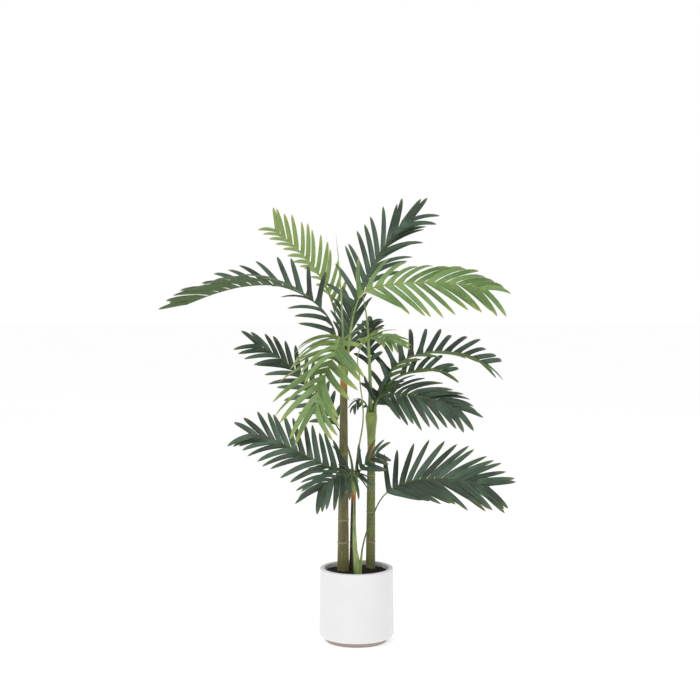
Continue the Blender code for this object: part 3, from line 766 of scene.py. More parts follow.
class Nodes:
    """The nodes of one material, added and linked in code."""

    def __init__(self, name: str, **sockets: float) -> None:
        self.material = bpy.data.materials.new(name)
        self.material.use_nodes = True
        self.tree = self.material.node_tree
        self.shader = self.tree.nodes["Principled BSDF"]
        for socket, value in sockets.items():
            self.shader.inputs[socket.replace("_", " ")].default_value = value
        self.place = self.add("ShaderNodeTexCoord").outputs["Object"]

    def add(self, kind: str, **settings: object) -> bpy.types.Node:
        """A new node with its own settings.

        Args:
            kind: the node's type.
            settings: values for the node's own settings.

        Returns:
            The node.
        """
        node = self.tree.nodes.new(kind)
        for key, value in settings.items():
            setattr(node, key, value)
        return node

    def feed(self, socket: bpy.types.NodeSocket, value: object) -> None:
        """Links a socket, or sets it to a plain value.

        Args:
            socket: the socket to fill.
            value: what goes in.
        """
        if isinstance(value, bpy.types.NodeSocket):
            self.tree.links.new(value, socket)
        else:
            socket.default_value = value

    def math(self, operation: str, *values: object, clamp: bool = False) -> bpy.types.NodeSocket:
        """The result of a Math node.

        Args:
            operation: the node's operation.
            clamp: keeps the result within 0 to 1.
            values: the inputs, sockets or numbers.

        Returns:
            The result.
        """
        node = self.add("ShaderNodeMath", operation=operation, use_clamp=clamp)
        for socket, value in zip(node.inputs, values):
            self.feed(socket, value)
        return node.outputs[0]

    def stretched(self, source: bpy.types.NodeSocket, scale: tuple) -> bpy.types.NodeSocket:
        """Coordinates scaled on each axis.

        Args:
            source: the coordinates.
            scale: scale of the pattern.

        Returns:
            The new coordinates.
        """
        node = self.add("ShaderNodeMapping")
        self.feed(node.inputs["Vector"], source)
        node.inputs["Scale"].default_value = scale
        return node.outputs["Vector"]

    def noise(self, source: bpy.types.NodeSocket, scale: float, detail: float = 3.0) -> bpy.types.NodeSocket:
        """The value of a noise pattern.

        Args:
            source: the coordinates.
            scale: scale of the pattern.
            detail: levels of detail.

        Returns:
            The value.
        """
        node = self.add("ShaderNodeTexNoise")
        self.feed(node.inputs["Vector"], source)
        node.inputs["Scale"].default_value = scale
        node.inputs["Detail"].default_value = detail
        return node.outputs["Fac"]

    def ranged(self, value: bpy.types.NodeSocket, low: float, high: float, to: tuple) -> bpy.types.NodeSocket:
        """A value carried smoothly from one range to another.

        Args:
            value: what goes in.
            low: where the range starts.
            high: where the range ends.
            to: the two values to end at.

        Returns:
            The value in its new range.
        """
        node = self.add("ShaderNodeMapRange", interpolation_type="SMOOTHSTEP")
        for socket, number in zip(node.inputs, (value, low, high, *to)):
            self.feed(socket, number)
        return node.outputs[0]

    def mix(self, share: object, first: object, second: object) -> bpy.types.NodeSocket:
        """A colour between two others.

        Args:
            share: share of the way, 0 to 1.
            first: the value at the start.
            second: the value at the end.

        Returns:
            The mixed colour.
        """
        node = self.add("ShaderNodeMix", data_type="RGBA")
        for index, value in ((0, share), (6, first), (7, second)):
            self.feed(node.inputs[index], (*value, 1.0) if isinstance(value, tuple) else value)
        return node.outputs[2]

    def shade(self, colour: bpy.types.NodeSocket, value: bpy.types.NodeSocket) -> bpy.types.NodeSocket:
        """A colour made lighter or darker by a value round one.

        Args:
            colour: the colour.
            value: how light, 1.0 to leave it as it is.

        Returns:
            The new colour.
        """
        node = self.add("ShaderNodeHueSaturation")
        self.feed(node.inputs["Color"], colour)
        self.feed(node.inputs["Value"], value)
        return node.outputs["Color"]

    def mark(self, name: str) -> bpy.types.NodeSocket:
        """The value of an attribute of the piece's own."""
        return self.add("ShaderNodeAttribute", attribute_name=name).outputs["Fac"]

    def bump(self, height: bpy.types.NodeSocket, strength: float, distance: float) -> None:
        """Raises the surface's shading by a height.

        Args:
            height: how high it stands.
            strength: how strongly it shades.
            distance: depth in metres.
        """
        node = self.add("ShaderNodeBump")
        node.inputs["Strength"].default_value = strength
        node.inputs["Distance"].default_value = distance
        self.feed(node.inputs["Height"], height)
        self.feed(self.shader.inputs["Normal"], node.outputs["Normal"])

    def done(self, colour: bpy.types.NodeSocket, roughness: bpy.types.NodeSocket) -> bpy.types.Material:
        """Joins the colour and the roughness to the shader.

        Args:
            colour: the colour.
            roughness: how rough it is.

        Returns:
            The material.
        """
        self.feed(self.shader.inputs["Base Color"], colour)
        self.feed(self.shader.inputs["Roughness"], roughness)
        return self.material


@dataclass(frozen=True)
class PotFinish:
    """Satin white glazed ware, with painted warm grey shade on its set-back foot."""

    white: tuple = (0.73, 0.725, 0.73)
    cream: tuple = (0.70, 0.69, 0.688)
    # painted shade: this warm grey colours the set-back foot, standing in for the shadow in its recess
    bare: tuple = (0.40, 0.35, 0.32)
    foot: float = 0.011

    def build(self) -> bpy.types.Material:
        """Makes the material.

        Returns:
            The material.
        """
        nodes = Nodes("white_glaze", Coat_Weight=0.15, Coat_Roughness=0.25, Specular_IOR_Level=0.45)
        cloud = nodes.noise(nodes.place, 14.0, 2.0)
        colour = nodes.mix(nodes.ranged(cloud, 0.4, 0.8, (0.0, 0.5)), self.white, self.cream)
        height = nodes.add("ShaderNodeSeparateXYZ")
        nodes.feed(height.inputs[0], nodes.place)
        # painted shade: below the foot's height the white turns to the warm grey shade colour
        low = nodes.ranged(height.outputs["Z"], self.foot, self.foot + 0.004, (1.0, 0.0))
        colour = nodes.mix(low, colour, self.bare)
        grain = nodes.noise(nodes.place, 420.0, 2.0)
        nodes.bump(nodes.math("ADD", grain, nodes.noise(nodes.place, 30.0, 1.0)), 0.12, 0.0008)
        return nodes.done(colour, nodes.ranged(nodes.math("ADD", low, grain), 0.3, 1.6, (0.34, 0.8)))


@dataclass(frozen=True)
class SoilFinish:
    """Damp black potting soil with a few paler fibres."""

    dark: tuple = (0.008, 0.006, 0.005)
    brown: tuple = (0.040, 0.027, 0.018)
    fibre: tuple = (0.16, 0.11, 0.065)

    def build(self) -> bpy.types.Material:
        """Makes the material.

        Returns:
            The material.
        """
        nodes = Nodes("black_soil", Specular_IOR_Level=0.25)
        clod = nodes.noise(nodes.place, 160.0, 6.0)
        colour = nodes.mix(nodes.ranged(clod, 0.42, 0.68, (0.0, 1.0)), self.dark, self.brown)
        fleck = nodes.noise(nodes.stretched(nodes.place, (1.0, 4.0, 1.0)), 260.0, 2.0)
        colour = nodes.mix(nodes.ranged(fleck, 0.70, 0.76, (0.0, 0.8)), colour, self.fibre)
        nodes.bump(nodes.math("ADD", clod, nodes.noise(nodes.place, 700.0, 3.0)), 0.9, 0.0025)
        return nodes.done(colour, nodes.ranged(clod, 0.3, 0.7, (0.75, 1.0)))


@dataclass(frozen=True)
class BarkFinish:
    """Ringed palm bark: streaked along the stem, with pale scars and a warm band under the crown."""

    name: str
    green: tuple
    brown: tuple
    scar: tuple = (0.33, 0.28, 0.19)
    band: tuple = (0.50, 0.20, 0.035)

    def build(self) -> bpy.types.Material:
        """Makes the material.

        Returns:
            The material.
        """
        nodes = Nodes(self.name, Specular_IOR_Level=0.35)
        streak = nodes.noise(nodes.stretched(nodes.place, (1.0, 1.0, 0.06)), 420.0, 4.0)
        patch = nodes.noise(nodes.stretched(nodes.place, (1.0, 1.0, 0.25)), 45.0, 3.0)
        share = nodes.ranged(nodes.math("ADD", streak, patch), 0.78, 1.22, (0.0, 1.0))
        colour = nodes.mix(share, self.green, self.brown)
        colour = nodes.mix(nodes.mark("scar"), colour, self.scar)
        colour = nodes.mix(nodes.mark("warm"), colour, self.band)
        grain = nodes.noise(nodes.place, 300.0, 4.0)
        colour = nodes.shade(colour, nodes.ranged(grain, 0.3, 0.7, (0.75, 1.25)))
        nodes.bump(nodes.math("ADD", streak, patch), 0.5, 0.0008)
        return nodes.done(colour, nodes.ranged(streak, 0.3, 0.7, (0.45, 0.7)))


@dataclass(frozen=True)
class SkinFinish:
    """Smooth green skin of sheaths, stalks and spears, finely lined along its length."""

    name: str
    green: tuple
    pale: tuple
    warm: tuple = (0.48, 0.19, 0.03)
    base: tuple = (0.27, 0.37, 0.055)
    lines: tuple = (1.0, 1.0, 0.08)

    def build(self) -> bpy.types.Material:
        """Makes the material.

        Returns:
            The material.
        """
        nodes = Nodes(self.name, Specular_IOR_Level=0.5, Coat_Weight=0.08, Coat_Roughness=0.4)
        line = nodes.noise(nodes.stretched(nodes.place, self.lines), 520.0, 3.0)
        patch = nodes.noise(nodes.place, 28.0, 3.0)
        share = nodes.ranged(nodes.math("ADD", line, patch), 0.75, 1.25, (0.0, 1.0))
        colour = nodes.mix(share, self.green, self.pale)
        colour = nodes.mix(nodes.mark("base"), colour, self.base)
        colour = nodes.mix(nodes.mark("warm"), colour, self.warm)
        nodes.bump(line, 0.3, 0.0004)
        return nodes.done(colour, nodes.ranged(patch, 0.3, 0.7, (0.38, 0.55)))


@dataclass(frozen=True)
class LeafFinish:
    """A leaflet's blade: veined along its length, paler beneath, with a light midrib and edge."""

    name: str
    top: tuple
    top_light: tuple
    under: tuple
    edge: tuple
    tip: tuple
    young: tuple = (0.14, 0.21, 0.025)
    veins: float = 9.0

    def build(self) -> bpy.types.Material:
        """Makes the material.

        Returns:
            The material.
        """
        nodes = Nodes(
            self.name, Specular_IOR_Level=0.5, Sheen_Weight=0.06, Coat_Weight=0.06, Coat_Roughness=0.45
        )
        split = nodes.add("ShaderNodeSeparateXYZ")
        nodes.feed(split.inputs[0], nodes.add("ShaderNodeUVMap", uv_map="blade").outputs[0])
        across, along = split.outputs["X"], split.outputs["Y"]
        patch = nodes.noise(nodes.place, 22.0, 3.0)
        tint = nodes.mark("tint")
        blend = nodes.math("ADD", patch, nodes.math("MULTIPLY", tint, 0.34))
        colour = nodes.mix(nodes.ranged(blend, 0.3, 0.72, (0.0, 1.0)), self.top, self.top_light)
        colour = nodes.mix(nodes.mark("under"), colour, self.under)
        colour = nodes.mix(nodes.mark("young"), colour, self.young)
        wave = nodes.math("SINE", nodes.math("MULTIPLY", across, self.veins * 2 * math.pi))
        vein = nodes.ranged(wave, 0.1, 1.0, (0.0, 0.42))
        colour = nodes.mix(vein, colour, self.edge)
        middle = nodes.math("ABSOLUTE", nodes.math("SUBTRACT", across, 0.5))
        colour = nodes.mix(nodes.ranged(middle, 0.0, 0.05, (0.45, 0.0)), colour, self.edge)
        colour = nodes.mix(nodes.ranged(middle, 0.40, 0.5, (0.0, 0.55)), colour, self.edge)
        colour = nodes.mix(nodes.ranged(along, 0.62, 1.0, (0.0, 0.75)), colour, self.tip)
        colour = nodes.mix(nodes.ranged(along, 0.0, 0.12, (0.2, 0.0)), colour, self.edge)
        mottle = nodes.noise(nodes.place, 240.0, 3.0)
        colour = nodes.shade(colour, nodes.ranged(mottle, 0.3, 0.7, (0.86, 1.14)))
        nodes.bump(nodes.math("ADD", wave, mottle), 0.35, 0.0003)
        return nodes.done(colour, nodes.ranged(mottle, 0.3, 0.7, (0.40, 0.54)))


# ---------------------------------------------------------------- modelling


def nothing_selected() -> None:
    """Leaves edit mode and deselects everything."""
    if bpy.context.object and bpy.context.object.mode != "OBJECT":
        bpy.ops.object.mode_set(mode="OBJECT")
    bpy.ops.object.select_all(action="DESELECT")


def picked(*objects: bpy.types.Object) -> None:
    """Selects these objects only and makes the first the active one.

    Args:
        objects: the objects to select.
    """
    nothing_selected()
    for obj in objects:
        obj.select_set(True)
    bpy.context.view_layer.objects.active = objects[0]


def lathe(name: str, outline: list, centre: tuple, sides: int) -> bpy.types.Object:
    """A round body extruded ring by ring from its foot; each step is (radius, height, shift x, shift y).

    Args:
        name: its name.
        outline: the rings in order.
        centre: the middle.
        sides: how many sides it has.

    Returns:
        The body.
    """
    nothing_selected()
    radius, height, east, north = outline[0]
    foot = (centre[0] + east, centre[1] + north, height)
    bpy.ops.mesh.primitive_circle_add(vertices=sides, radius=radius, fill_type="NGON", location=foot)
    piece = bpy.context.object
    bpy.ops.object.transform_apply(location=True, rotation=False, scale=False)
    bpy.ops.object.mode_set(mode="EDIT")
    bpy.ops.mesh.select_all(action="SELECT")
    for after in outline[1:]:
        move = (after[2] - east, after[3] - north, after[1] - height)
        bpy.ops.mesh.extrude_region_move(TRANSFORM_OT_translate={"value": move})
        middle = (centre[0] + after[2], centre[1] + after[3], after[1])
        share = after[0] / radius
        bpy.ops.transform.resize(value=(share, share, 1.0), center_override=middle)
        radius, height, east, north = after
    bpy.ops.mesh.select_all(action="SELECT")
    bpy.ops.mesh.normals_make_consistent(inside=False)
    bpy.ops.object.mode_set(mode="OBJECT")
    bpy.ops.object.shade_smooth_by_angle(angle=math.radians(40))
    piece.name = name
    return piece


def tube(name: str, places: list, radii: list, roundness: int = 2) -> bpy.types.Object:
    """A round stalk swept along its places, with its own radius at each.

    Args:
        name: its name.
        places: the points along it.
        radii: the radius at each.
        roundness: how round its section is.

    Returns:
        The stalk.
    """
    nothing_selected()
    curve = bpy.data.curves.new(name, "CURVE")
    curve.dimensions = "3D"
    curve.bevel_depth = 1.0
    curve.bevel_resolution = roundness
    curve.use_fill_caps = True
    line = curve.splines.new("POLY")
    line.points.add(len(places) - 1)
    for point, place, radius in zip(line.points, places, radii):
        point.co = (*place, 1.0)
        point.radius = radius
    piece = bpy.data.objects.new(name, curve)
    bpy.context.collection.objects.link(piece)
    picked(piece)
    bpy.ops.object.convert(target="MESH")
    piece = bpy.context.object
    bpy.ops.object.mode_set(mode="EDIT")
    bpy.ops.mesh.select_all(action="SELECT")
    bpy.ops.mesh.remove_doubles(threshold=0.00001)
    bpy.ops.mesh.normals_make_consistent(inside=False)
    bpy.ops.object.mode_set(mode="OBJECT")
    bpy.ops.object.shade_smooth_by_angle(angle=math.radians(50))
    return piece


def joined(pieces: list, name: str) -> bpy.types.Object:
    """Several bodies made one piece.

    Args:
        pieces: the bodies to join.
        name: its name.

    Returns:
        The piece.
    """
    picked(*pieces)
    if len(pieces) > 1:
        bpy.ops.object.join()
    piece = bpy.context.object
    piece.name = name
    return piece


def marked(piece: bpy.types.Object, name: str, value: object) -> None:
    """Gives each point of a piece a value worked out from its place."""
    layer = piece.data.attributes.new(name, "FLOAT", "POINT")
    layer.data.foreach_set("value", [value(vert.co) for vert in piece.data.vertices])


def dressed(piece: bpy.types.Object, finish: bpy.types.Material) -> bpy.types.Object:
    """Puts one finish on a piece.

    Args:
        piece: the piece.
        finish: the material.

    Returns:
        The same piece.
    """
    piece.data.materials.clear()
    piece.data.materials.append(finish)
    return piece


def stands_for(piece: bpy.types.Object, node: str) -> None:
    """Puts a piece in a solid's place, on the plant's one body, and hides that solid.

    Args:
        piece: the piece.
        node: the solid it stands for.
    """
    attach(piece, "root")
    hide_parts(node)
    log.info("%s stands for %s: %d faces", piece.name, node, len(piece.data.polygons))


# ---------------------------------------------------------------- pot and soil


@dataclass
class Pot:
    """The round white pot: set-back foot, rounded shoulder, drawn-in side and soft rim."""

    radius: float = 0.100
    height: float = 0.1965
    wall: float = 0.0145
    floor: float = 0.014
    foot: tuple = (0.082, 0.011)  # radius and height
    foot_edge: float = 0.0012
    foot_lip: float = 0.0004
    shoulder: tuple = (0.088, 0.012)  # radius of its centre, and its round
    shoulder_from: float = -88.0  # degrees
    shoulder_steps: int = 10
    rim: tuple = (0.098, 0.003)  # radius outside, and its round
    rim_steps: int = 7
    inner_round: float = 0.006
    side_steps: int = 8
    sides: int = 128

    def outline(self) -> list:
        """Radius and height of each ring, from the underside round to the inner floor.

        Returns:
            The rings, each with its radius, height and shift.
        """
        foot_radius, foot_height = self.foot
        edge = self.foot_edge
        rings = [(foot_radius - edge, 0.0), (foot_radius, edge), (foot_radius, foot_height - edge)]
        rings += [(foot_radius + self.foot_lip, foot_height)]
        centre, bend = self.shoulder
        rings += self.quarter((centre, foot_height + bend), bend, self.shoulder_from, 0, self.shoulder_steps)
        low, high = centre + bend, self.rim[0]
        for step in range(1, self.side_steps):
            share = step / self.side_steps
            rings.append((low + (high - low) * share, between((foot_height + bend, self.height), share)))
        soft = self.rim[1]
        rings += self.quarter((self.rim[0] - soft, self.height - soft), soft, 0, 90, self.rim_steps)
        inner = self.radius - self.wall
        rings += self.quarter((inner + soft, self.height - soft), soft, 90, 180, self.rim_steps)[1:]
        rings += [(inner, self.floor + self.inner_round), (inner - self.inner_round, self.floor)]
        return [(radius, height, 0.0, 0.0) for radius, height in rings]

    def quarter(self, centre: tuple, radius: float, first: float, last: float, steps: int) -> list:
        """Points of a round in the outline, angles in degrees."""
        angles = [math.radians(between((first, last), step / steps)) for step in range(steps + 1)]
        return [(centre[0] + radius * math.cos(a), centre[1] + radius * math.sin(a)) for a in angles]

    def build(self) -> None:
        """Makes the pot."""
        pot = dressed(lathe("white_pot", self.outline(), (0.0, 0.0), self.sides), PotFinish().build())
        stands_for(pot, "pot")


@dataclass
class Soil:
    """Potting soil: an uneven top with loose crumbs."""

    radius: float = 0.0850
    floor: float = 0.0143
    top: float = 0.1865
    sides: int = 96
    rings: int = 22
    ring_width: float = 0.0036
    drop: float = 0.001
    rough: float = 0.0022
    broad_wave: tuple = (95.0, 1.3, 120.0)  # waves to the east, their start, waves to the north
    fine_wave: tuple = (260.0, 210.0)
    crumbs: int = 420
    crumb_sizes: tuple = (0.0010, 0.0030)
    crumb_room: float = 0.004
    crumb_breadth: tuple = (0.5, 1.0)  # shares of the crumb's size
    crumb_height: tuple = (0.4, 0.8)

    def height(self, place: Vector) -> float:
        """Height of the surface at a place.

        Args:
            place: where on the surface.

        Returns:
            The height, from broad waves with finer ones across them.
        """
        east, start, north = self.broad_wave
        broad = math.sin(place.x * east + start) * math.cos(place.y * north)
        east, north = self.fine_wave
        fine = math.sin(place.x * east - place.y * north)
        return self.top - self.drop + self.rough * 0.45 * (broad + fine)

    def bed(self) -> bpy.types.Object:
        """The body of the soil, its top inset into rings and made uneven.

        Returns:
            The bed.
        """
        outline = [(self.radius, self.floor, 0.0, 0.0), (self.radius, self.top - 0.002, 0.0, 0.0)]
        bed = lathe("potting_soil", outline, (0.0, 0.0), self.sides)
        picked(bed)
        bpy.ops.object.mode_set(mode="EDIT")
        bpy.ops.mesh.select_all(action="DESELECT")
        bpy.ops.object.mode_set(mode="OBJECT")
        for face in bed.data.polygons:
            face.select = face.normal.z > 0.9
        bpy.ops.object.mode_set(mode="EDIT")
        for _ in range(self.rings):
            bpy.ops.mesh.inset(thickness=self.ring_width)
        bpy.ops.object.mode_set(mode="OBJECT")
        for vert in bed.data.vertices:
            if vert.co.z > self.floor + 0.01 and vert.co.xy.length < self.radius - 0.001:
                vert.co.z = self.height(vert.co)
        return bed

    def build(self) -> None:
        """Makes the soil and scatters its crumbs."""
        chance = random.Random("crumbs")
        nothing_selected()
        bpy.ops.mesh.primitive_ico_sphere_add(subdivisions=1, radius=1.0)
        crumb = bpy.context.object
        pieces = [self.bed()]
        for _ in range(self.crumbs):
            angle, share = chance.uniform(0, 2 * math.pi), math.sqrt(chance.random())
            far = (self.radius - self.crumb_room) * share
            place = Vector((far * math.cos(angle), far * math.sin(angle), 0.0))
            place.z = self.height(place)
            size = chance.uniform(*self.crumb_sizes)
            breadth, height = chance.uniform(*self.crumb_breadth), chance.uniform(*self.crumb_height)
            sizes = Vector((size, size * breadth, size * height))
            copy = crumb.copy()
            copy.data = crumb.data.copy()
            turn = Matrix.Rotation(chance.uniform(0, 6.3), 4, "Z")
            copy.data.transform(Matrix.Translation(place) @ turn @ Matrix.Diagonal((*sizes, 1.0)))
            bpy.context.collection.objects.link(copy)
            pieces.append(copy)
        bpy.data.objects.remove(crumb)
        soil = dressed(joined(pieces, "potting_soil"), SoilFinish().build())
        stands_for(soil, "soil")


# ---------------------------------------------------------------- stems


UPRIGHT = (1.0, 1.0, 0.03)  # lines that run up a stem
EVEN = (0.3, 0.3, 0.3)

BARKS = {
    "left": BarkFinish("olive_bark", (0.150, 0.175, 0.050), (0.120, 0.095, 0.045)),
    "middle": BarkFinish("brown_bark", (0.115, 0.080, 0.045), (0.055, 0.036, 0.025)),
    "right": BarkFinish("green_bark", (0.160, 0.190, 0.050), (0.135, 0.110, 0.050)),
}


@dataclass
class Trunk:
    """A ringed stem with its crownshaft: sunken joints, raised scars and a warm band on top."""

    stem: Stem
    sides: int = 32
    steps: int = 26
    ring_room: float = 0.006
    scar_reach: float = 0.0030
    band: float = 0.030
    shaft_band: float = 0.022
    greens: tuple = ((0.17, 0.235, 0.045), (0.33, 0.40, 0.10))
    below_scar: tuple = ((-0.0045, 0.985), (-0.0022, 1.02), (-0.0010, 1.09))  # height, swell
    above_scar: tuple = ((0.0012, 1.075), (0.0030, 0.96), (0.0050, 0.99))
    flare: tuple = (  # share of the crownshaft's height, and of its flare
        (0.0, 0.0),
        (0.06, 0.02),
        (0.2, 0.06),
        (0.4, 0.22),
        (0.6, 0.5),
        (0.78, 0.85),
        (0.90, 0.90),
        (1.0, 0.35),
    )

    def outline(self) -> list:
        """The stem's rings, from its foot in the soil to its top.

        Returns:
            The rings, each with its radius, height and shift.
        """
        stem = self.stem
        low, high = stem.radii
        swells = [(SOIL_TOP - STEM_DEPTH, 1.0)]
        swells += [(between((SOIL_TOP, stem.top), i / self.steps), 1.0) for i in range(self.steps + 1)]
        swells = [(z, s) for z, s in swells if all(abs(z - ring) > self.ring_room for ring in stem.rings)]
        for ring in stem.rings:
            swells += [(ring + rise, swell) for rise, swell in (*self.below_scar, *self.above_scar)]
        rings = []
        for height, swell in sorted(swells):
            part = max(0.0, (height - SOIL_TOP) / (stem.top - SOIL_TOP))
            east, north = (between((stem.foot[i], stem.head[i]), part) for i in (0, 1))
            rings.append((between((low, high), part) * swell, height, east, north))
        return rings

    def scar(self, co: Vector) -> float:
        """How much of a leaf scar a point lies on."""
        return max(0.0, 1.0 - min(abs(co.z - ring) for ring in self.stem.rings) / self.scar_reach)

    def warmth(self, co: Vector) -> float:
        """How warm the bark is at a point: most at the stem's top."""
        return max(0.0, min(1.0, (co.z - self.stem.top + self.band) / self.band)) * 0.9

    def build(self) -> None:
        """Makes the stem and its crownshaft."""
        stem = self.stem
        trunk = lathe("trunk_" + stem.name, self.outline(), (0.0, 0.0), self.sides)
        marked(trunk, "scar", self.scar)
        marked(trunk, "warm", self.warmth)
        stands_for(dressed(trunk, BARKS[stem.name].build()), "stem_" + stem.name)
        foot = stem.top + GAP
        rings = [
            (between((stem.radii[1], stem.crown_radius), flare), foot + stem.crown * share, 0.0, 0.0)
            for share, flare in self.flare
        ]
        shaft = lathe("sheath_" + stem.name, rings, stem.head, self.sides)
        marked(shaft, "warm", lambda co: max(0.0, 1.0 - (co.z - foot) / self.shaft_band) ** 1.5)
        green = SkinFinish("sheath_skin_" + stem.name, *self.greens, lines=UPRIGHT)
        stands_for(dressed(shaft, green.build()), "crownshaft_" + stem.name)


@dataclass
class Shoots:
    """The rolled spears and the young shoot."""

    green: SkinFinish = SkinFinish("spear_skin", (0.16, 0.25, 0.06), (0.32, 0.40, 0.14), lines=UPRIGHT)
    steps: int = 24
    tip: tuple = (1.0, 0.04)
    main_width: float = 0.95  # as shares of the spear's half width
    second_width: float = 0.62
    wrap_width: float = 1.35
    second: tuple = ((0.0, 0.0, SOIL_TOP), (0.001, 0.0, 0.25), (-0.001, -0.003, 0.31), (0.0, -0.006, 0.36))
    wrap: tuple = ((0.005, 0.0, SOIL_TOP - 0.006), (0.005, 0.0, 0.21), (0.004, 0.0, 0.25))

    def beside(self, foot: tuple, steps: tuple) -> Route:
        """The route of a blade that stands beside the shoot.

        Args:
            foot: x, y of the shoot in the soil.
            steps: shift to the east, to the north, and height of each point.

        Returns:
            The route.
        """
        return Route(tuple((foot[0] + east, foot[1] + north, height) for east, north, height in steps))

    def blade(self, name: str, route: Route, half: float) -> bpy.types.Object:
        """One blade, widest near its foot and drawn out to a point.

        Args:
            name: its name.
            route: the curve it follows.
            half: half its greatest width.

        Returns:
            The blade.
        """
        shares = [i / self.steps for i in range(self.steps + 1)]
        widths = np.interp(shares, *zip(*SPEAR_SHAPE, self.tip))
        return tube(name, [route.at(share)[0] for share in shares], [half * width for width in widths])

    def build(self) -> None:
        """Makes each spear, and the shoot with its second blade and its sheath."""
        skin = self.green.build()
        for spear in SPEARS:
            route = Route((*start_points(spear.start), *spear.route))
            parts = [self.blade(spear.name + "_blade", route, spear.half * self.main_width)]
            if spear.name == "shoot":
                second, wrap = self.beside(spear.start, self.second), self.beside(spear.start, self.wrap)
                parts.append(self.blade("second_blade", second, spear.half * self.second_width))
                parts.append(self.blade("wrap", wrap, spear.half * self.wrap_width))
            stands_for(dressed(joined(parts, "young_" + spear.name), skin), spear.name)


# ---------------------------------------------------------------- fronds


class Tone(Enum):
    """The two leaf colours: older blades and young ones."""

    DARK = "dark"
    LIGHT = "light"


LEAVES = {
    Tone.DARK: LeafFinish(
        name="dark_leaf",
        top=(0.004, 0.016, 0.009),
        top_light=(0.042, 0.085, 0.055),
        under=(0.055, 0.100, 0.022),
        edge=(0.085, 0.140, 0.060),
        tip=(0.10, 0.14, 0.05),
    ),
    Tone.LIGHT: LeafFinish(
        name="light_leaf",
        top=(0.055, 0.135, 0.038),
        top_light=(0.135, 0.245, 0.085),
        under=(0.15, 0.25, 0.055),
        edge=(0.33, 0.43, 0.08),
        tip=(0.33, 0.37, 0.07),
    ),
}


STALKS = {
    Tone.DARK: SkinFinish("dark_stalk", (0.040, 0.070, 0.016), (0.085, 0.125, 0.032), lines=EVEN),
    Tone.LIGHT: SkinFinish("light_stalk", (0.16, 0.24, 0.045), (0.33, 0.40, 0.10), lines=EVEN),
}


@dataclass
class Leaflet:
    """The one modelled leaflet: a thin blade on a unit square, bent later onto each path."""

    across: int = 4
    steps: tuple = (0.0, 0.08, 0.1667, 0.3333, 0.5, 0.6667, 0.8333, 0.93, 1.0)
    widths: tuple = (1.0, 1.0, 0.96, 0.93, 0.89, 0.79, 0.60, 0.38, 0.06)
    fold: tuple = (0.0, 14.0, 26.0, 22.0, 18.0, 14.0, 10.0, 8.0, 5.0)
    sunk: float = 0.0022
    thick: float = 0.0005
    under: float = -0.05  # height on the unit square below which a point is on the underside
    points: np.ndarray = field(default=None)
    faces: list = field(default_factory=list)

    def model(self) -> None:
        """Models the blade: a grid, its rows moved to their steps, and a Solidify for its thickness."""
        nothing_selected()
        rows = len(self.steps) - 1
        bpy.ops.mesh.primitive_grid_add(x_subdivisions=self.across, y_subdivisions=rows, size=1.0)
        blade = bpy.context.object
        for vert in blade.data.vertices:
            vert.co.y = self.steps[round((vert.co.y + 0.5) * rows)]
        wall = blade.modifiers.new("wall", "SOLIDIFY")
        wall.thickness = 0.1
        bpy.ops.object.modifier_apply(modifier="wall")
        self.points = np.array([vert.co[:] for vert in blade.data.vertices])
        self.faces = [list(face.vertices) for face in blade.data.polygons]
        bpy.data.objects.remove(blade)

    def bent(self, path: list, side: int, width: float, twist: float, root: Vector) -> np.ndarray:
        """The leaflet's points on one path.

        Args:
            path: the leaflet's places from root to tip.
            side: 1 on the right, -1 on the left.
            width: width of the blade in metres.
            twist: turn along its length in radians.
            root: direction and reach of its foot along the stalk.

        Returns:
            The points, bent to the path.
        """
        steps = np.linspace(0.0, 1.0, len(path))
        frames = []
        for share, (place, heading, upper) in zip(steps, path):
            tilt = Matrix.Rotation(math.radians(LEAFLET_TILT) * side + twist * share, 3, heading)
            frames.append([*place, *(tilt @ (upper.cross(heading) * side)), *(tilt @ upper)])
        frames[0][:6] = [*(path[0][0] - path[0][1] * self.sunk), *(root / width)]
        frames = np.array(frames)
        x, t, z = self.points.T
        on_path = np.stack([np.interp(t, steps, column) for column in frames.T], axis=1)
        wide = np.interp(t, self.steps, self.widths) * width * x
        fold = np.tan(np.radians(np.interp(t, self.steps, self.fold)))
        lift = np.abs(wide) * fold + np.where(z < self.under, -self.thick, 0.0)
        return on_path[:, :3] + on_path[:, 3:6] * wide[:, None] + on_path[:, 6:] * lift[:, None]


# fronds whose right-hand leaflets have turned yellow-green
YELLOW_ROWS = ("frond_right_mid", "frond_right_inner")


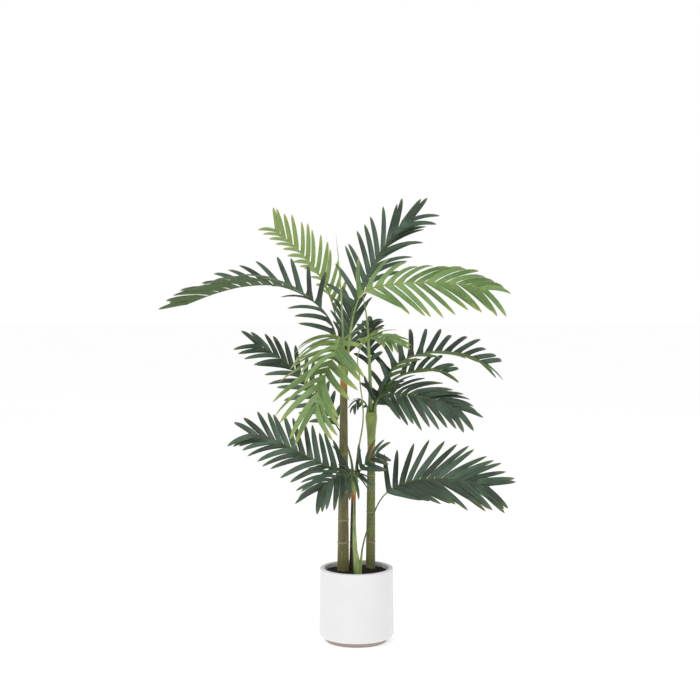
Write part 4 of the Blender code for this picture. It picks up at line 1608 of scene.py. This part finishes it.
@dataclass
class Plume:
    """One frond: a tapering stalk that clasps its crown, and its leaflets."""

    grown: Grown
    blade: Leaflet
    base: float = 0.0046
    swollen: float = 0.22
    spacing: float = 0.012
    skin: float = 1.02
    twist: float = 16.0  # degrees, either way
    widths: tuple = (0.92, 1.06)
    clasped: float = 0.92
    young: float = 0.13
    yellowing: float = 0.75
    clasp: tuple = (  # share of the way out, of the crown's height and of its radius
        (0.25, 0.45, 0.50),
        (0.75, 0.85, 0.42),
    )

    def stalk(self) -> bpy.types.Object:
        """The stalk, thick at its foot and fine at its tip.

        Returns:
            The stalk.
        """
        route, frond = self.grown.route, self.grown.frond
        places, radii = [], []
        if isinstance(frond.start[0], str):
            stem = stem_named(frond.start[0])
            axis = Vector((*stem.head, 0.0))
            out = Vector((*route.places[0].xy, 0.0)) - axis
            for away, height, wide in self.clasp:
                places.append(axis + out * away + UP * (stem.top + stem.crown * height))
                radii.append(stem.crown_radius * wide)
        count = max(20, int(route.length / self.spacing))
        for i in range(count + 1):
            share = i / count
            places.append(route.at(share)[0])
            swell = (self.base - STALK_HALF) * max(0.0, 1.0 - share / self.swollen) ** 1.5
            radii.append(stalk_half(share) * self.skin + swell)
        stalk = tube(frond.name + "_stalk", places, radii)
        marked(stalk, "base", lambda co: max(0.0, 1.0 - (co - places[0]).length / self.young))
        return stalk

    def blades(self) -> bpy.types.Object:
        """All the leaflets of the frond as one mesh, with their blade map and marks.

        Returns:
            The leaflets.
        """
        frond, blade = self.grown.frond, self.blade
        chance = random.Random(frond.name + "_looks")
        count = len(blade.points)
        points, faces, tints, youngs = [], [], [], []
        route = self.grown.route
        pitch = (LAST_PAIR - frond.bare) * route.length / (frond.pairs - 1) * self.clasped
        for index, (pair, side, path) in enumerate(self.grown.leaflets):
            twist = math.radians(chance.uniform(-self.twist, self.twist))
            width = frond.width * chance.uniform(*self.widths)
            root = route.at(pair_share(frond, pair))[1] * pitch
            points.append(blade.bent(path, side, width, twist, root))
            faces += [[vert + index * count for vert in face] for face in blade.faces]
            tints += [chance.uniform(-1.0, 1.0)] * count
            youngs += [self.yellowing if side > 0 and frond.name in YELLOW_ROWS else 0.0] * count
        mesh = bpy.data.meshes.new(frond.name + "_blades")
        mesh.from_pydata(np.concatenate(points).tolist(), [], faces)
        copies = len(points)
        unders = (blade.points[:, 2] < blade.under).astype(float).tolist() * copies
        for name, values in (("tint", tints), ("young", youngs), ("under", unders)):
            mesh.attributes.new(name, "FLOAT", "POINT").data.foreach_set("value", values)
        unfolded = [(point[0] + 0.5, point[1]) for point in blade.points] * copies
        corners = mesh.uv_layers.new(name="blade")
        for loop, corner in zip(mesh.loops, corners.data):
            corner.uv = unfolded[loop.vertex_index]
        piece = bpy.data.objects.new(mesh.name, mesh)
        bpy.context.collection.objects.link(piece)
        picked(piece)
        bpy.ops.object.mode_set(mode="EDIT")
        bpy.ops.mesh.select_all(action="SELECT")
        bpy.ops.mesh.normals_make_consistent(inside=False)
        bpy.ops.object.mode_set(mode="OBJECT")
        bpy.ops.object.shade_smooth_by_angle(angle=math.radians(50))
        return piece

    def build(self, leaves: dict, skins: dict) -> None:
        """Makes the frond and dresses it.

        Args:
            leaves: the leaf material of each tone.
            skins: the stalk material of each tone.
        """
        tone = Tone(self.grown.frond.tone)
        blades = dressed(self.blades(), leaves[tone])
        stalk = dressed(self.stalk(), skins[tone])
        plume = joined([blades, stalk], self.grown.frond.name.replace("frond", "plume"))
        stands_for(plume, self.grown.frond.name)


# ---------------------------------------------------------------- studio


@dataclass
class Studio:
    """A pale floor, soft light all round and the camera."""

    distance: float = 3.4
    eye: float = 0.923
    pitch: float = 2.42
    lens: float = 65.7
    shift: float = -0.0093
    sky: float = 0.62
    key: float = 46.0
    fill: float = 16.0
    glow: float = 0.39
    key_size: float = 1.6
    fill_size: float = 1.8
    key_place: tuple = (-1.8, -2.2, 2.6)
    fill_place: tuple = (2.2, -1.4, 1.8)
    aim: float = 0.6
    floor_radius: float = 40.0
    floor_gap: float = 0.0005

    def light(self, name: str, place: tuple, size: float, power: float) -> None:
        """A soft square lamp that looks at the plant's middle.

        Args:
            name: its name.
            place: the place.
            size: width in metres.
            power: power in watts.
        """
        nothing_selected()
        bpy.ops.object.light_add(type="AREA", location=place)
        lamp = bpy.context.object
        lamp.name = name
        lamp.data.size = size
        lamp.data.energy = power
        away = Vector(place) - Vector((0.0, 0.0, self.aim))
        lamp.rotation_euler = away.to_track_quat("Z", "Y").to_euler()

    def world(self) -> None:
        """An even sky, pure white where it is seen."""
        world = bpy.data.worlds.new("studio_sky")
        bpy.context.scene.world = world
        world.use_nodes = True
        nodes, links = world.node_tree.nodes, world.node_tree.links
        sky = nodes["Background"]
        seen = nodes.new("ShaderNodeBackground")
        seen.inputs["Strength"].default_value = 1.0
        sky.inputs["Strength"].default_value = self.sky
        for node in (sky, seen):
            node.inputs["Color"].default_value = (1.0, 1.0, 1.0, 1.0)
        pick = nodes.new("ShaderNodeMixShader")
        links.new(nodes.new("ShaderNodeLightPath").outputs["Is Camera Ray"], pick.inputs[0])
        links.new(sky.outputs[0], pick.inputs[1])
        links.new(seen.outputs[0], pick.inputs[2])
        links.new(pick.outputs[0], nodes["World Output"].inputs["Surface"])

    def floor(self) -> bpy.types.Object:
        """The floor: a wide pale disc.

        Returns:
            The floor.
        """
        nothing_selected()
        bpy.ops.mesh.primitive_circle_add(
            vertices=96, radius=self.floor_radius, fill_type="NGON", location=(0.0, 0.0, -self.floor_gap)
        )
        floor = bpy.context.object
        floor.name = "floor"
        nodes = Nodes("pale_floor", Specular_IOR_Level=0.1, Emission_Strength=self.glow)
        nodes.shader.inputs["Emission Color"].default_value = (1.0, 1.0, 1.0, 1.0)
        soft = nodes.noise(nodes.place, 0.6, 1.0)
        share = nodes.ranged(soft, 0.3, 0.7, (0.0, 1.0))
        colour = nodes.mix(share, (0.97, 0.97, 0.97), (0.955, 0.955, 0.955))
        dressed(floor, nodes.done(colour, nodes.ranged(soft, 0.0, 1.0, (0.8, 0.9))))
        return floor

    def camera(self) -> None:
        """The camera at the front, looking slightly down."""
        nothing_selected()
        bpy.ops.object.camera_add(location=(0.0, -self.distance, self.eye))
        camera = bpy.context.object
        camera.name = "camera"
        camera.rotation_euler = (math.radians(90.0 - self.pitch), 0.0, 0.0)
        camera.data.lens = self.lens
        camera.data.sensor_width = 36.0
        camera.data.shift_x = self.shift
        camera.data.clip_end = 200.0
        bpy.context.scene.camera = camera

    def build(self) -> None:
        """Sets the stage."""
        self.world()
        self.floor()
        self.light("key_lamp", self.key_place, self.key_size, self.key)
        self.light("fill_lamp", self.fill_place, self.fill_size, self.fill)
        self.camera()
        bpy.context.scene.view_settings.view_transform = "Standard"


def main() -> None:
    """Builds the palm piece by piece."""
    logging.basicConfig(level=logging.INFO, format="%(name)s: %(message)s")
    Studio().build()
    Pot().build()
    Soil().build()
    for stem in STEMS:
        Trunk(stem).build()
    Shoots().build()
    blade = Leaflet()
    blade.model()
    leaves = {tone: finish.build() for tone, finish in LEAVES.items()}
    skins = {tone: finish.build() for tone, finish in STALKS.items()}
    for grown in grow():
        Plume(grown, blade).build(leaves, skins)


if __name__ == "__main__":
    main()
